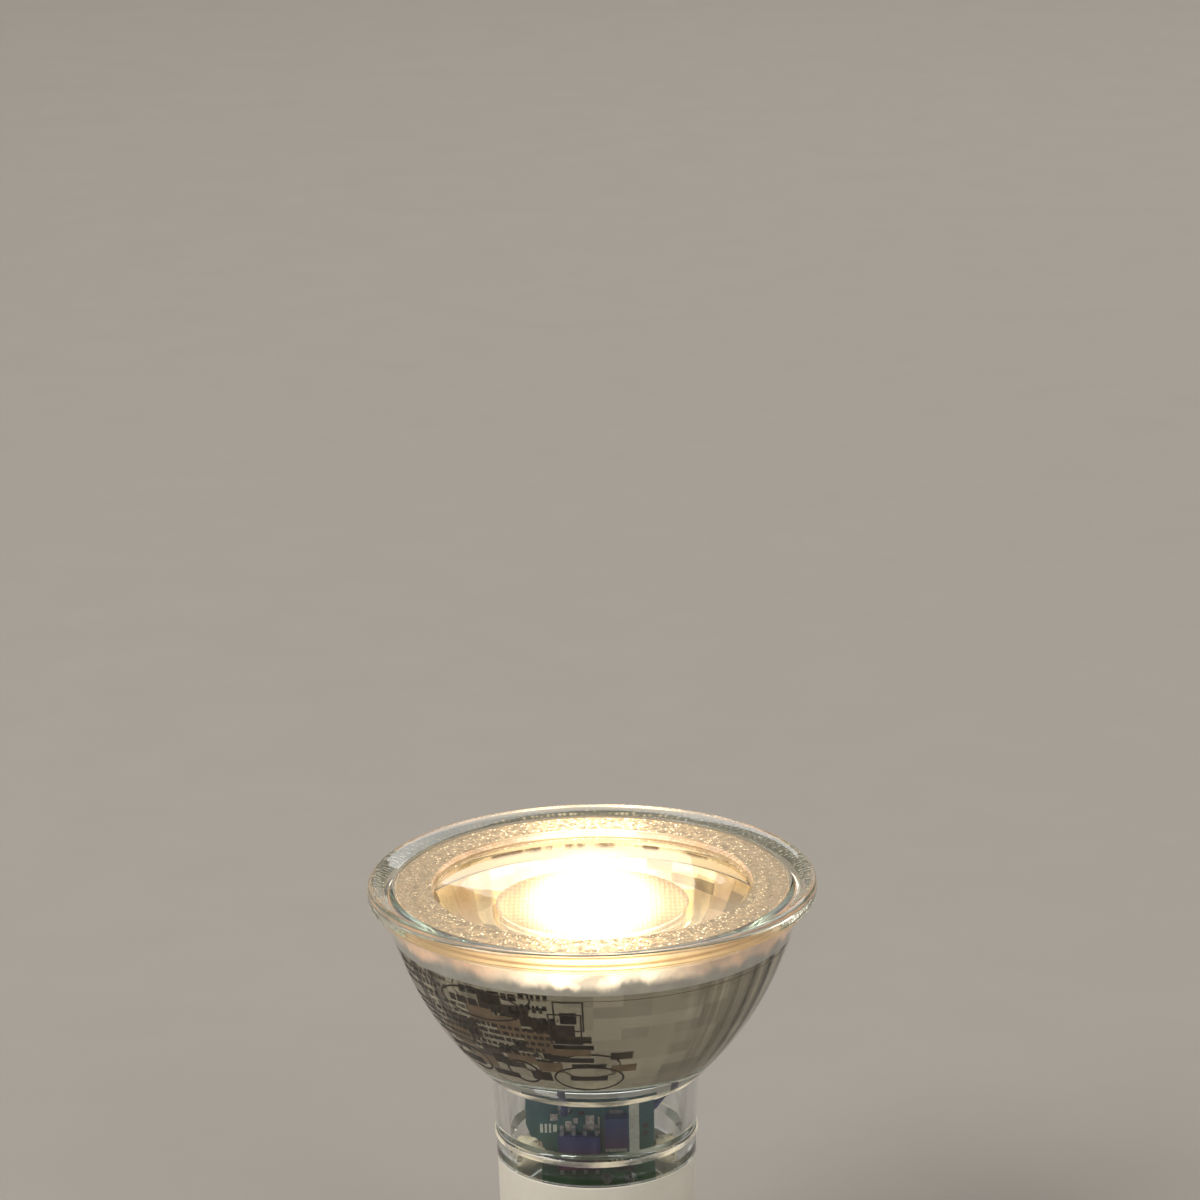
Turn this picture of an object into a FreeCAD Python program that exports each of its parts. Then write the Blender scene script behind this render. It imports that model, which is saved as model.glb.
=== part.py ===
import FreeCAD, Part
import math
import os
import re

import Sketcher

# A pressed-glass spotlight bulb with a two-pin twist base, standing on its pins with the lens upward.
# Millimetres. The origin is the centre of the base's end face, midway between the pins, and +Z runs up
# the bulb's axis to the lens. The driver board's component side faces -Y.

SIZES = {
    # plastic base
    "base_height": 14.4,
    "collar_step": 0.07,
    "collar_draft": 0.2,
    "collar_wall": 0.95,
    "collar_edge_round": 0.25,
    "shoulder_height": 5.6,
    "shoulder_round": 2.0,
    "base_end_radius": 9.0,
    "base_end_rise": 3.0,
    "base_end_draft": 0.35,
    "base_end_round": 0.5,
    "base_flat_width": 14.2,
    "base_flat_height": 3.4,
    "base_floor": 1.8,
    "base_wall": 1.3,
    "guide_width": 1.3,
    "guide_lip": 0.9,
    "guide_bottom": 3.0,
    "guide_gap": 1.0,
    # contact pins
    "pin_spacing": 10.0,
    "pin_length": 7.0,
    "pin_head_radius": 2.5,
    "pin_head_length": 2.6,
    "pin_head_round": 0.5,
    "pin_shank_radius": 1.5,
    "pin_collar_radius": 2.1,
    "pin_collar_height": 0.6,
    "pin_bore_depth": 4.0,
    # glass
    "fit_clearance": 0.1,
    "spigot_length": 5.0,
    "spigot_wall": 1.3,
    "spigot_round": 0.3,
    "foot_height": 2.76,
    "foot_wall": 2.2,
    "foot_slope": 0.9,
    "rib_width": 0.8,
    "rib_round": 0.5,
    "neck_length": 10.0,
    "neck_foot_radius": 11.26,
    "neck_top_radius": 11.8,
    "neck_wall": 1.55,
    "neck_round": 0.45,
    "bowl_lip_height": 0.9,
    "bowl_lip_overhang": 1.07,
    "bowl_lip_chamfer": 0.4,
    "bowl_arc_rise": 5.2,
    "bowl_wall": 1.7,
    "bore_flare": 0.8,
    "facet_step": 0.35,
    "facet_height": 13.4,
    "facet_columns": 40,
    "facet_rows": 9,
    "band_height": 3.35,
    "rim_radius": 25.0,
    "rim_width": 2.94,
    "rim_land": 1.0,
    "rim_fall": 0.5,
    "rim_edge_height": 1.8,
    "rim_overhang": 1.5,
    "rim_depth": 2.5,
    "rim_skirt": 0.4,
    "rim_skirt_inset": 0.45,
    "rim_round": 0.7,
    "rim_inner_round": 0.2,
    # lens
    "lens_clearance": 0.16,
    "lens_recess": 0.7,
    "lens_flange_thickness": 1.5,
    "lens_flange_width": 4.0,
    "lens_edge_round": 0.25,
    "lens_step": 1.2,
    "lens_step_draft": 0.25,
    "lens_window_fall": 1.2,
    "lens_window_thickness": 1.2,
    "lens_window_arc": 60.0,
    "lens_disc_radius": 10.0,
    "collimator_swell": 0.6,
    "collimator_mouth_radius": 6.1,
    "collimator_arc": 28.0,
    "collimator_gap": 0.4,
    "cavity_radius": 5.3,
    "cavity_top_radius": 4.5,
    "cavity_depth": 4.6,
    "cavity_crown": 1.2,
    # sealant under the lens
    "adhesive_film": 0.15,
    "adhesive_inset": 0.1,
    "adhesive_bead": 1.2,
    "adhesive_toe": 0.9,
    "adhesive_meniscus": 1.5,
    # light source
    "led_seat_rise": 2.6,
    "led_board_thickness": 1.5,
    "led_board_clearance": 0.2,
    "led_hole_radius": 0.8,
    "led_hole_circle": 8.3,
    "led_wire_angle_plus": -6.3,
    "led_wire_angle_minus": -114.2,
    "dam_radius": 5.0,
    "dam_width": 0.8,
    "dam_height": 0.8,
    "dam_round": 0.25,
    "phosphor_depth": 0.5,
    "phosphor_crown": 0.12,
    # driver board
    "board_front": 3.4,
    "board_thickness": 1.0,
    "board_seat": 0.6,
    "board_clearance": 0.1,
    "board_top_gap": 0.9,
    "board_left": 5.9,
    "board_left_top": 7.6,
    "board_right": 6.3,
    "board_notch_drop": 12.7,
    "board_notch_length": 5.0,
    "lead_radius": 0.3,
    "hole_clearance": 0.06,
    "solder_radius": 0.75,
    "solder_height": 0.7,
    # driver chip
    "chip_x": -1.85,
    "chip_drop": 10.9,
    "chip_length": 4.5,
    "chip_width": 3.9,
    "chip_height": 1.5,
    "chip_standoff": 0.1,
    "chip_pitch": 1.27,
    "chip_leads": 4,
    "chip_lead_width": 0.42,
    "chip_lead_thickness": 0.2,
    "chip_lead_reach": 1.1,
    "chip_lead_foot": 0.55,
    # diode on the component side
    "diode_x": 2.2,
    "diode_drop": 8.3,
    "diode_width": 2.5,
    "diode_length": 3.6,
    "diode_height": 1.9,
    "tab_width": 1.5,
    "tab_reach": 0.5,
    "tab_thickness": 0.25,
    # bridge rectifier behind the board
    "bridge_x": -0.9,
    "bridge_rise": 3.6,
    "bridge_length": 4.7,
    "bridge_width": 3.9,
    "bridge_height": 2.4,
    "bridge_pitch": 2.5,
    "bridge_lead_width": 0.65,
    # chip resistors and ceramic chip capacitors
    "small_chip_length": 2.0,
    "small_chip_width": 1.25,
    "resistor_chip_height": 0.55,
    "ceramic_chip_height": 1.0,
    "resistor_a_x": -4.9,
    "resistor_a_drop": 2.8,
    "resistor_b_x": -1.6,
    "resistor_b_drop": 3.0,
    "resistor_c_x": 3.1,
    "resistor_c_drop": 12.8,
    "resistor_d_x": -2.6,
    "resistor_d_drop": 17.1,
    "resistor_e_x": 0.9,
    "resistor_e_drop": 1.8,
    "resistor_f_x": -1.4,
    "resistor_f_drop": 13.6,
    "ceramic_a_x": 0.6,
    "ceramic_a_drop": 17.1,
    "ceramic_b_x": 3.0,
    "ceramic_b_drop": 16.6,
    "ceramic_c_x": 2.7,
    "ceramic_c_drop": 3.8,
    # electrolytic capacitor
    "can_x": 2.4,
    "can_drop": 13.0,
    "can_radius": 4.0,
    "can_length": 11.5,
    "can_round": 0.5,
    "can_groove_rise": 1.6,
    "can_groove_width": 1.0,
    "can_groove_depth": 0.35,
    "can_gap": 0.1,
    "can_lead_spacing": 2.5,
    "can_lead_drop": 1.6,
    "lead_bend": 0.6,
    # inductor
    "coil_x": -4.7,
    "coil_drop": 9.5,
    "coil_radius": 3.0,
    "coil_length": 7.4,
    "coil_flange": 1.0,
    "coil_post_radius": 1.4,
    "winding_inset": 0.35,
    "coil_lead_spacing": 2.4,
    "coil_lead_rise": 0.9,
    # fusible resistor over the left pin
    "fuse_rise": 2.4,
    "fuse_length": 6.4,
    "fuse_radius": 1.3,
    "fuse_waist": 0.15,
    "fuse_cap_length": 1.3,
    "fuse_round": 0.3,
    "fuse_solder_rise": 11.1,
    # leads and wires
    "pin_wire_gap": 1.8,
    "wire_radius": 0.4,
    "pin_wire_bend": 1.0,
    "led_wire_bend": 0.64,
    "wire_plus_x": 5.2,
    "wire_plus_drop": 2.4,
    "wire_back_gap": 0.1,
    "wire_loop_reach": 0.2,
    "wire_loop_drop": 5.2,
    "wire_loop_rise": 3.4,
    "wire_minus_x": -3.4,
    "wire_minus_drop": 5.9,
    "wire_stand_off": 1.7,
    "wire_tail": 1.6,
    # silicone dabs that hold the board's edges
    "dab_rise": 1.3,
    "dab_reach": 0.35,
}

SHEET = "Sizes"
FULL_TURN = 360
ACROSS = FreeCAD.Vector(1, 0, 0)
UP = FreeCAD.Vector(0, 0, 1)

# Heights of the stack, from the end face up
NECK_TOP = "(base_height + neck_length)"
BOWL_FOOT = f"({NECK_TOP} + bowl_lip_height)"
LED_SEAT = f"({BOWL_FOOT} + led_seat_rise)"
LED_FACE = f"({LED_SEAT} + led_board_thickness)"
FACET_TOP = f"({LED_SEAT} + facet_height)"
LENS_SEAT = f"({FACET_TOP} + band_height)"
FLANGE_UNDER = f"({LENS_SEAT} + adhesive_film)"
FLANGE_TOP = f"({FLANGE_UNDER} + lens_flange_thickness)"
RIM_TOP = f"({FLANGE_TOP} + lens_recess)"
RIB_Z = "(base_height + foot_height)"
SPIGOT_END = "(base_height - spigot_length)"
GUIDE_TOP = f"({SPIGOT_END} - guide_gap)"

# Heights on the driver board: the lower parts go up from its foot, the upper ones down from its top
BOARD_BOTTOM = "(guide_bottom + board_seat)"
BOARD_TOP = f"({LED_SEAT} - board_top_gap)"
FUSE_LOW = f"({BOARD_BOTTOM} + fuse_rise)"
CAN_LOW = f"({BOARD_TOP} - can_drop)"
COIL_LOW = f"({BOARD_TOP} - coil_drop)"

# Radii and depths that neighbours share
COLLAR_BORE = "(neck_foot_radius - collar_wall)"
SPIGOT_RADIUS = f"({COLLAR_BORE} - fit_clearance)"
SPIGOT_BORE = f"({SPIGOT_RADIUS} - spigot_wall)"
FOOT_BORE = "(neck_foot_radius - foot_wall)"
SEAT_RADIUS = "(rim_radius - rim_width)"
LENS_RADIUS = f"({SEAT_RADIUS} - lens_clearance)"
DAM_BORE = "(dam_radius - dam_width)"
BOARD_BACK = "(board_front - board_thickness)"
HOLE_RADIUS = "(lead_radius + hole_clearance)"
FUSE_X = "(-pin_spacing / 2)"
LEAD_TIP = "(-board_front - solder_height)"
PIN_BORE_END = "(base_floor + pin_collar_height - pin_bore_depth)"
CAN_Y = f"(can_radius + can_gap - {BOARD_BACK})"
COIL_Y = f"(coil_radius + can_gap - {BOARD_BACK})"

# The bowl's curve runs from its lip over the neck to the rim's skirt
LIP_RADIUS = "(neck_top_radius + bowl_lip_overhang)"
SKIRT_RADIUS = "(rim_radius - rim_overhang - rim_skirt_inset)"
LIP_DROP = f"({RIM_TOP} + bowl_arc_rise - {BOWL_FOOT})"
SKIRT_DROP = "(rim_depth + rim_skirt + bowl_arc_rise)"
ARC_INSET = (f"((({LIP_DROP}^2 - {SKIRT_DROP}^2) / ({SKIRT_RADIUS} - {LIP_RADIUS})"
             f" - {SKIRT_RADIUS} - {LIP_RADIUS}) / 2)")
ARC_RADIUS = f"sqrt(({LIP_RADIUS} + {ARC_INSET})^2 + {LIP_DROP}^2)"

doc = FreeCAD.newDocument("spotlight_bulb")
parts = []


def bound(text):
    """Puts the sheet's name before each size in an expression."""
    return re.sub(r"[a-z]+(?:_[a-z]+)+", lambda found: f"{SHEET}.{found.group()}", text)


def make_sheet():
    sheet = doc.addObject("Spreadsheet::Sheet", SHEET)
    for row, (alias, number) in enumerate(SIZES.items(), start=1):
        sheet.set(f"A{row}", alias)
        sheet.set(f"B{row}", str(number))
        sheet.setAlias(f"B{row}", alias)
    doc.recompute()
    return sheet


sheet = make_sheet()


def value(text):
    """The number that an expression of sizes gives."""
    return float(sheet.evalExpression(bound(text)))


def bowl_radius(height, inset="0"):
    """Radius of the bowl's curved wall at a height, inset from its outer face."""
    drop = f"({RIM_TOP} + bowl_arc_rise - {height})"
    return f"(sqrt(({ARC_RADIUS} - {inset})^2 - {drop}^2) - {ARC_INSET})"


def dome_radius(half_width, crown):
    """Radius of the arc that rises by its crown at the axis."""
    return f"(({half_width}^2 + {crown}^2) / (2 * {crown}))"


FACET_TOP_RADIUS = bowl_radius(FACET_TOP, "bowl_wall")
BAND_RADIUS = f"({FACET_TOP_RADIUS} + facet_step)"


# Document objects


def keep(item, name):
    """Gives a finished sub-part the name of its file."""
    item.Label = name
    parts.append(item)
    return item


def bind(item, **sizes):
    """Binds properties of an object to expressions of sizes."""
    for name, text in sizes.items():
        item.setExpression(name.replace("__", "."), bound(text))
    return item


def move(item, x="0", y="0", z="0"):
    return bind(item, Placement__Base__x=x, Placement__Base__y=y, Placement__Base__z=z)


def primitive(kind, name, **sizes):
    return bind(doc.addObject(f"Part::{kind}", name), **sizes)


def cut(name, base, tool):
    item = doc.addObject("Part::Cut", name)
    item.Base = base
    item.Tool = tool
    return item


def joined(kind, name, items):
    """Several shapes as one object: a MultiFuse, a MultiCommon or a Compound."""
    item = doc.addObject(f"Part::{kind}", name)
    if kind == "Compound":
        item.Links = items
    else:
        item.Shapes = items
    return item


# Sketched bodies


def origin_plane(body, role):
    return next(plane for plane in body.Origin.OriginFeatures if plane.Role == role)


def new_sketch(body, name, role, offset="0"):
    sketch = body.newObject("Sketcher::SketchObject", name)
    sketch.AttachmentSupport = [(origin_plane(body, role), "")]
    sketch.MapMode = "FlatFace"
    sketch.setExpression("AttachmentOffset.Base.z", bound(offset))
    return sketch


def arc_between(start, end, radius, side):
    """An arc from start to end; side 1 puts its centre on the left of that run, -1 on the right."""
    chord = end - start
    rise = math.sqrt(max(radius**2 - (chord.Length / 2) ** 2, 0))
    left = FreeCAD.Vector(-chord.y, chord.x, 0).normalize()
    centre = (start + end) * 0.5 + left * (side * rise)
    first, last = (start, end) if side > 0 else (end, start)
    angles = [math.atan2(point.y - centre.y, point.x - centre.x) for point in (first, last)]
    return Part.ArcOfCircle(Part.Circle(centre, UP, radius), *angles)


def fillet_between(corner, before, after, radius):
    """The rounded corner between two straight runs: its arc, its ends and the side of its centre."""
    back = (before - corner).normalize()
    ahead = (after - corner).normalize()
    half = back.getAngle(ahead) / 2
    trim = radius / math.tan(half)
    start, end = corner + back * trim, corner + ahead * trim
    side = 1 if (corner - before).cross(after - corner).z > 0 else -1
    return arc_between(start, end, radius, side), start, end, side


def pin_point(sketch, geometry, end, x, y):
    """Holds a point of a sketch at a pair of sizes."""
    for kind, text, axis in (("DistanceX", x, -2), ("DistanceY", y, -1)):
        if text == "0":
            sketch.addConstraint(Sketcher.Constraint("PointOnObject", geometry, end, axis))
            continue
        number = sketch.addConstraint(Sketcher.Constraint(kind, -1, 1, geometry, end, value(text)))
        sketch.setExpression(f"Constraints[{number}]", bound(text))


def pin_radius(sketch, geometry, text):
    number = sketch.addConstraint(Sketcher.Constraint("Radius", geometry, value(text)))
    sketch.setExpression(f"Constraints[{number}]", bound(text))


def draw_outline(sketch, corners):
    """One closed outline. A corner is (x, y), with ("round", radius) where it is rounded, or with
    ("arc", radius, side) where a curved edge runs from it to the next corner."""
    points = [FreeCAD.Vector(value(corner[0]), value(corner[1]), 0) for corner in corners]
    count = len(corners)
    shapes = [corner[2] if len(corner) > 2 else ("plain",) for corner in corners]
    rounds = {}
    for here in range(count):
        if shapes[here][0] == "round":
            radius = value(shapes[here][1])
            rounds[here] = fillet_between(points[here], points[here - 1], points[(here + 1) % count], radius)
    edges = []
    for here in range(count):
        after = (here + 1) % count
        start = rounds[here][2] if here in rounds else points[here]
        end = rounds[after][1] if after in rounds else points[after]
        if shapes[here][0] == "arc":
            side = shapes[here][2]
            number = sketch.addGeometry(arc_between(start, end, value(shapes[here][1]), side), False)
            edges.append((number, 1, 2) if side > 0 else (number, 2, 1))
        else:
            edges.append((sketch.addGeometry(Part.LineSegment(start, end), False), 1, 2))
    for here, corner in enumerate(corners):
        before, after = edges[here - 1], edges[here]
        if here in rounds:
            arc, _, _, side = rounds[here]
            number = sketch.addGeometry(arc, False)
            first, last = (1, 2) if side > 0 else (2, 1)
            sketch.addConstraint(Sketcher.Constraint("Tangent", before[0], before[2], number, first))
            sketch.addConstraint(Sketcher.Constraint("Tangent", number, last, after[0], after[1]))
            pin_radius(sketch, number, shapes[here][1])
            mark = sketch.addGeometry(Part.Point(points[here]), True)
            sketch.addConstraint(Sketcher.Constraint("PointOnObject", mark, 1, before[0]))
            sketch.addConstraint(Sketcher.Constraint("PointOnObject", mark, 1, after[0]))
            pin_point(sketch, mark, 1, corner[0], corner[1])
        else:
            link = Sketcher.Constraint("Coincident", before[0], before[2], after[0], after[1])
            sketch.addConstraint(link)
            pin_point(sketch, after[0], after[1], corner[0], corner[1])
        if shapes[here][0] == "arc":
            pin_radius(sketch, after[0], shapes[here][1])


def draw_circle(sketch, x, y, radius):
    circle = Part.Circle(FreeCAD.Vector(value(x), value(y), 0), UP, value(radius))
    number = sketch.addGeometry(circle, False)
    pin_point(sketch, number, 3, x, y)
    pin_radius(sketch, number, radius)


def new_body(name):
    return doc.addObject("PartDesign::Body", name)


def turned(name, corners):
    """A body turned about the vertical axis from an outline of radius and height."""
    body = new_body(name)
    sketch = new_sketch(body, f"{name}_outline", "XZ_Plane")
    draw_outline(sketch, corners)
    turn = body.newObject("PartDesign::Revolution", f"{name}_turn")
    turn.Profile = sketch
    turn.ReferenceAxis = (sketch, ["V_Axis"])
    turn.Angle = FULL_TURN
    sketch.Visibility = False
    return body


def padded(body, sketch, name, length, midplane=False):
    pad = body.newObject("PartDesign::Pad", name)
    pad.Profile = sketch
    pad.SideType = "Symmetric" if midplane else "One side"
    bind(pad, Length=length)
    return pad


def rectangle(half_x, low_y, high_y):
    return [(f"-{half_x}", low_y), (half_x, low_y), (half_x, high_y), (f"-{half_x}", high_y)]


# The board's two sides


def seat_on_board(item, x, height, front=True):
    """Lays an object, built on its own floor, against the driver board's front or back face."""
    upright = FreeCAD.Rotation(ACROSS, 90)
    turned_back = FreeCAD.Rotation(UP, 180)
    item.Placement.Rotation = upright if front else turned_back.multiply(upright)
    face = "-board_front" if front else f"-{BOARD_BACK}"
    return move(item, x, face, height)


def rod(path, radius, bend):
    """A round wire along straight runs joined by tangent arcs."""
    edges = []
    start = path[0]
    for before, corner, after in zip(path, path[1:], path[2:]):
        back, ahead = (before - corner).normalize(), (after - corner).normalize()
        half = back.getAngle(ahead) / 2
        trim = bend / math.tan(half)
        middle = corner + (back + ahead).normalize() * (bend / math.sin(half) - bend)
        first, last = corner + back * trim, corner + ahead * trim
        edges.append(Part.LineSegment(start, first).toShape())
        edges.append(Part.Arc(first, middle, last).toShape())
        start = last
    edges.append(Part.LineSegment(start, path[-1]).toShape())
    section = Part.Wire(Part.Circle(path[0], path[1] - path[0], radius).toShape())
    return Part.Wire(edges).makePipeShell([section], True, True)


def point(x, y, z):
    return FreeCAD.Vector(value(x), value(y), value(z))


def wires(name, paths, radius, bend):
    """A sub-part of one wire or of several like wires."""
    shapes = [rod(path, value(radius), value(bend)) for path in paths]
    item = doc.addObject("Part::Feature", name)
    item.Shape = shapes[0] if len(shapes) == 1 else Part.makeCompound(shapes)
    item.Placement = FreeCAD.Placement()
    return keep(item, name)


# Glass envelope


def facet_form():
    """The bowl's hollow: flat panes between stacked polygons that follow the bowl's curve."""
    rings = []
    for row in range(int(value("facet_rows")) + 1):
        height = f"({FACET_TOP} - facet_height * {row} / facet_rows)"
        ring = primitive("RegularPolygon", f"facet_ring_{row}", Polygon="facet_columns")
        bind(ring, Circumradius=bowl_radius(height, "bowl_wall"))
        rings.append(move(ring, z=height))
    form = doc.addObject("Part::Loft", "facet_form")
    form.Sections = rings
    form.Solid = True
    form.Ruled = True
    return form


def make_glass():
    bore_top = "(neck_top_radius - neck_wall)"
    bore_foot = "(neck_foot_radius - neck_wall)"
    rim_under = f"({RIM_TOP} - rim_depth)"
    skirt_end = f"({RIM_TOP} - rim_depth - rim_skirt)"
    blank = turned("glass_blank", [
        ("0", FACET_TOP),
        (BAND_RADIUS, FACET_TOP),
        (BAND_RADIUS, LENS_SEAT),
        (SEAT_RADIUS, LENS_SEAT),
        (SEAT_RADIUS, f"{RIM_TOP} - rim_fall", ("round", "rim_inner_round")),
        ("rim_radius - rim_land", RIM_TOP),
        ("rim_radius", RIM_TOP, ("round", "rim_round")),
        ("rim_radius", f"{RIM_TOP} - rim_edge_height", ("round", "rim_round")),
        ("rim_radius - rim_overhang", rim_under),
        (SKIRT_RADIUS, skirt_end, ("arc", ARC_RADIUS, -1)),
        (LIP_RADIUS, BOWL_FOOT),
        (f"{LIP_RADIUS} - bowl_lip_chamfer", f"{BOWL_FOOT} - bowl_lip_chamfer"),
        ("neck_top_radius", NECK_TOP, ("round", "neck_round")),
        ("neck_foot_radius", f"{RIB_Z} + rib_width / 2", ("arc", "rib_round", -1)),
        ("neck_foot_radius", f"{RIB_Z} - rib_width / 2"),
        ("neck_foot_radius", "base_height"),
        (SPIGOT_RADIUS, "base_height"),
        (SPIGOT_RADIUS, SPIGOT_END, ("round", "spigot_round")),
        (SPIGOT_BORE, SPIGOT_END, ("round", "spigot_round")),
        (FOOT_BORE, RIB_Z),
        (bore_foot, f"{RIB_Z} + foot_slope"),
        (bore_top, f"{LED_SEAT} - bore_flare", ("arc", "bore_flare", -1)),
        (f"{bore_top} + bore_flare", LED_SEAT),
        ("0", LED_SEAT),
    ])
    keep(cut("glass_envelope", blank, facet_form()), "glass_envelope")


# Lens and its sealant


def make_lens():
    step_foot = f"({FLANGE_TOP} - lens_step)"
    disc = f"({step_foot} - lens_window_fall)"
    window = f"({LENS_RADIUS} - lens_flange_width)"
    window_foot = f"({window} - lens_step_draft)"
    mouth = f"({LED_FACE} + collimator_gap)"
    cavity_top = f"({mouth} + cavity_depth)"
    keep(turned("front_lens", [
        ("0", disc),
        ("lens_disc_radius", disc, ("arc", "lens_window_arc", 1)),
        (window_foot, step_foot),
        (window, FLANGE_TOP),
        (LENS_RADIUS, FLANGE_TOP, ("round", "lens_edge_round")),
        (LENS_RADIUS, FLANGE_UNDER),
        (f"{window} + lens_window_thickness", FLANGE_UNDER),
        (window, f"{step_foot} - lens_window_thickness"),
        ("lens_disc_radius + collimator_swell", f"{disc} - lens_window_thickness",
         ("arc", "collimator_arc", -1)),
        ("collimator_mouth_radius", mouth),
        ("cavity_radius", mouth),
        ("cavity_top_radius", cavity_top, ("arc", dome_radius("cavity_top_radius", "cavity_crown"), -1)),
        ("0", f"{cavity_top} - cavity_crown"),
    ]), "front_lens")


def make_lens_adhesive():
    outer = f"({LENS_RADIUS} - adhesive_inset)"
    keep(turned("lens_adhesive", [
        (outer, FLANGE_UNDER),
        (outer, LENS_SEAT),
        (BAND_RADIUS, LENS_SEAT),
        (BAND_RADIUS, f"{LENS_SEAT} - adhesive_bead", ("arc", "adhesive_meniscus", 1)),
        (f"{BAND_RADIUS} - adhesive_toe", FLANGE_UNDER),
    ]), "lens_adhesive")


# Light source


def hole_point(angle, height):
    """A point over one of the light board's two wire holes."""
    return (f"(led_hole_circle * cos({angle} * 1 deg))", f"(led_hole_circle * sin({angle} * 1 deg))", height)


def make_light_source():
    half_pane = "180 deg / facet_columns"
    seat = bowl_radius(LED_SEAT, "bowl_wall")
    disc = primitive("Cylinder", "led_board_disc", Height="led_board_thickness")
    bind(disc, Radius=f"{seat} * cos({half_pane}) - led_board_clearance")
    move(disc, z=LED_SEAT)
    drills = []
    for angle in ("led_wire_angle_plus", "led_wire_angle_minus"):
        drill = primitive("Cylinder", "led_board_drill", Radius="led_hole_radius")
        bind(drill, Height="led_board_thickness")
        drills.append(move(drill, *hole_point(angle, LED_SEAT)))
    keep(cut("led_board", disc, joined("MultiFuse", "led_board_drills", drills)), "led_board")
    keep(turned("led_dam", [
        (DAM_BORE, LED_FACE),
        (DAM_BORE, f"{LED_FACE} + dam_height", ("round", "dam_round")),
        ("dam_radius", f"{LED_FACE} + dam_height", ("round", "dam_round")),
        ("dam_radius", LED_FACE),
    ]), "led_dam")
    keep(turned("led_phosphor", [
        ("0", LED_FACE),
        (DAM_BORE, LED_FACE),
        (DAM_BORE, f"{LED_FACE} + phosphor_depth", ("arc", dome_radius(DAM_BORE, "phosphor_crown"), 1)),
        ("0", f"{LED_FACE} + phosphor_depth + phosphor_crown"),
    ]), "led_phosphor")


# Driver board

HOLES = {
    "can_left": ("(can_x - can_lead_spacing / 2)", f"({CAN_LOW} - can_lead_drop)"),
    "can_right": ("(can_x + can_lead_spacing / 2)", f"({CAN_LOW} - can_lead_drop)"),
    "coil_left": ("(coil_x - coil_lead_spacing / 2)", f"({COIL_LOW} + coil_length + coil_lead_rise)"),
    "coil_right": ("(coil_x + coil_lead_spacing / 2)", f"({COIL_LOW} + coil_length + coil_lead_rise)"),
    "fuse": (FUSE_X, f"({BOARD_BOTTOM} + fuse_solder_rise)"),
    "right_pin": ("(pin_spacing / 2)", f"({GUIDE_TOP} + pin_wire_gap)"),
}
WIRE_HOLES = {
    "plus": ("wire_plus_x", f"({BOARD_TOP} - wire_plus_drop)"),
    "minus": ("wire_minus_x", f"({BOARD_TOP} - wire_minus_drop)"),
}


def make_board():
    body = new_body("driver_board")
    sketch = new_sketch(body, "driver_board_outline", "XZ_Plane", BOARD_BACK)
    notch = f"({BOARD_TOP} - board_notch_drop)"
    draw_outline(sketch, [
        ("-board_left", BOARD_BOTTOM),
        ("board_right", BOARD_BOTTOM),
        ("board_right", BOARD_TOP),
        ("-board_left_top", BOARD_TOP),
        ("-board_left_top", f"{notch} + board_notch_length"),
        ("-board_left", notch),
    ])
    for x, height in HOLES.values():
        draw_circle(sketch, x, height, HOLE_RADIUS)
    for x, height in WIRE_HOLES.values():
        draw_circle(sketch, x, height, "(wire_radius + hole_clearance)")
    padded(body, sketch, "driver_board_sheet", "board_thickness")
    keep(body, "driver_board")


def make_solder():
    """A cone of solder round each lead, on the component side."""
    cones = []
    lead_spots = [(spot, "lead_radius") for spot in HOLES.values()]
    wire_spots = [(spot, "wire_radius") for spot in WIRE_HOLES.values()]
    for (x, height), lead in lead_spots + wire_spots:
        cone = primitive("Cone", "solder_cone", Radius1=f"solder_radius + {lead} - lead_radius")
        bind(cone, Radius2=f"{lead} + hole_clearance", Height="solder_height")
        core = primitive("Cylinder", "solder_core", Radius=lead, Height="solder_height")
        seat_on_board(cone, x, height)
        seat_on_board(core, x, height)
        cones.append(cut("solder_joint", cone, core))
    keep(joined("Compound", "solder_joints", cones), "solder_joints")


def add_leads(body, name, size, count):
    """Rows of bent leads along both long sides of a package."""
    span = f"({size}_pitch * ({count} - 1))"
    sketch = new_sketch(body, f"{name}_lead_outline", "YZ_Plane", f"-{span} / 2")
    thick = "chip_lead_thickness"
    side_start = f"({size}_width / 2)"
    height = f"({size}_height / 2)"
    tip = f"({side_start} + chip_lead_reach)"
    heel = f"({tip} - chip_lead_foot)"
    profile = [
        (side_start, f"({height} - {thick})"),
        (f"({heel} - {thick})", f"({height} - {thick})"),
        (heel, "0"),
        (tip, "0"),
        (tip, thick),
        (f"({heel} + {thick})", thick),
        (heel, height),
        (side_start, height),
    ]
    draw_outline(sketch, profile)
    draw_outline(sketch, [(f"-{across}", up) for across, up in profile])
    lead = padded(body, sketch, f"{name}_lead_pair", f"{size}_lead_width", midplane=True)
    row = body.newObject("PartDesign::LinearPattern", f"{name}_lead_row")
    row.Originals = [lead]
    row.Direction = (sketch, ["N_Axis"])
    row.Occurrences = int(value(count))
    bind(row, Length=span)
    body.Tip = row


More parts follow.
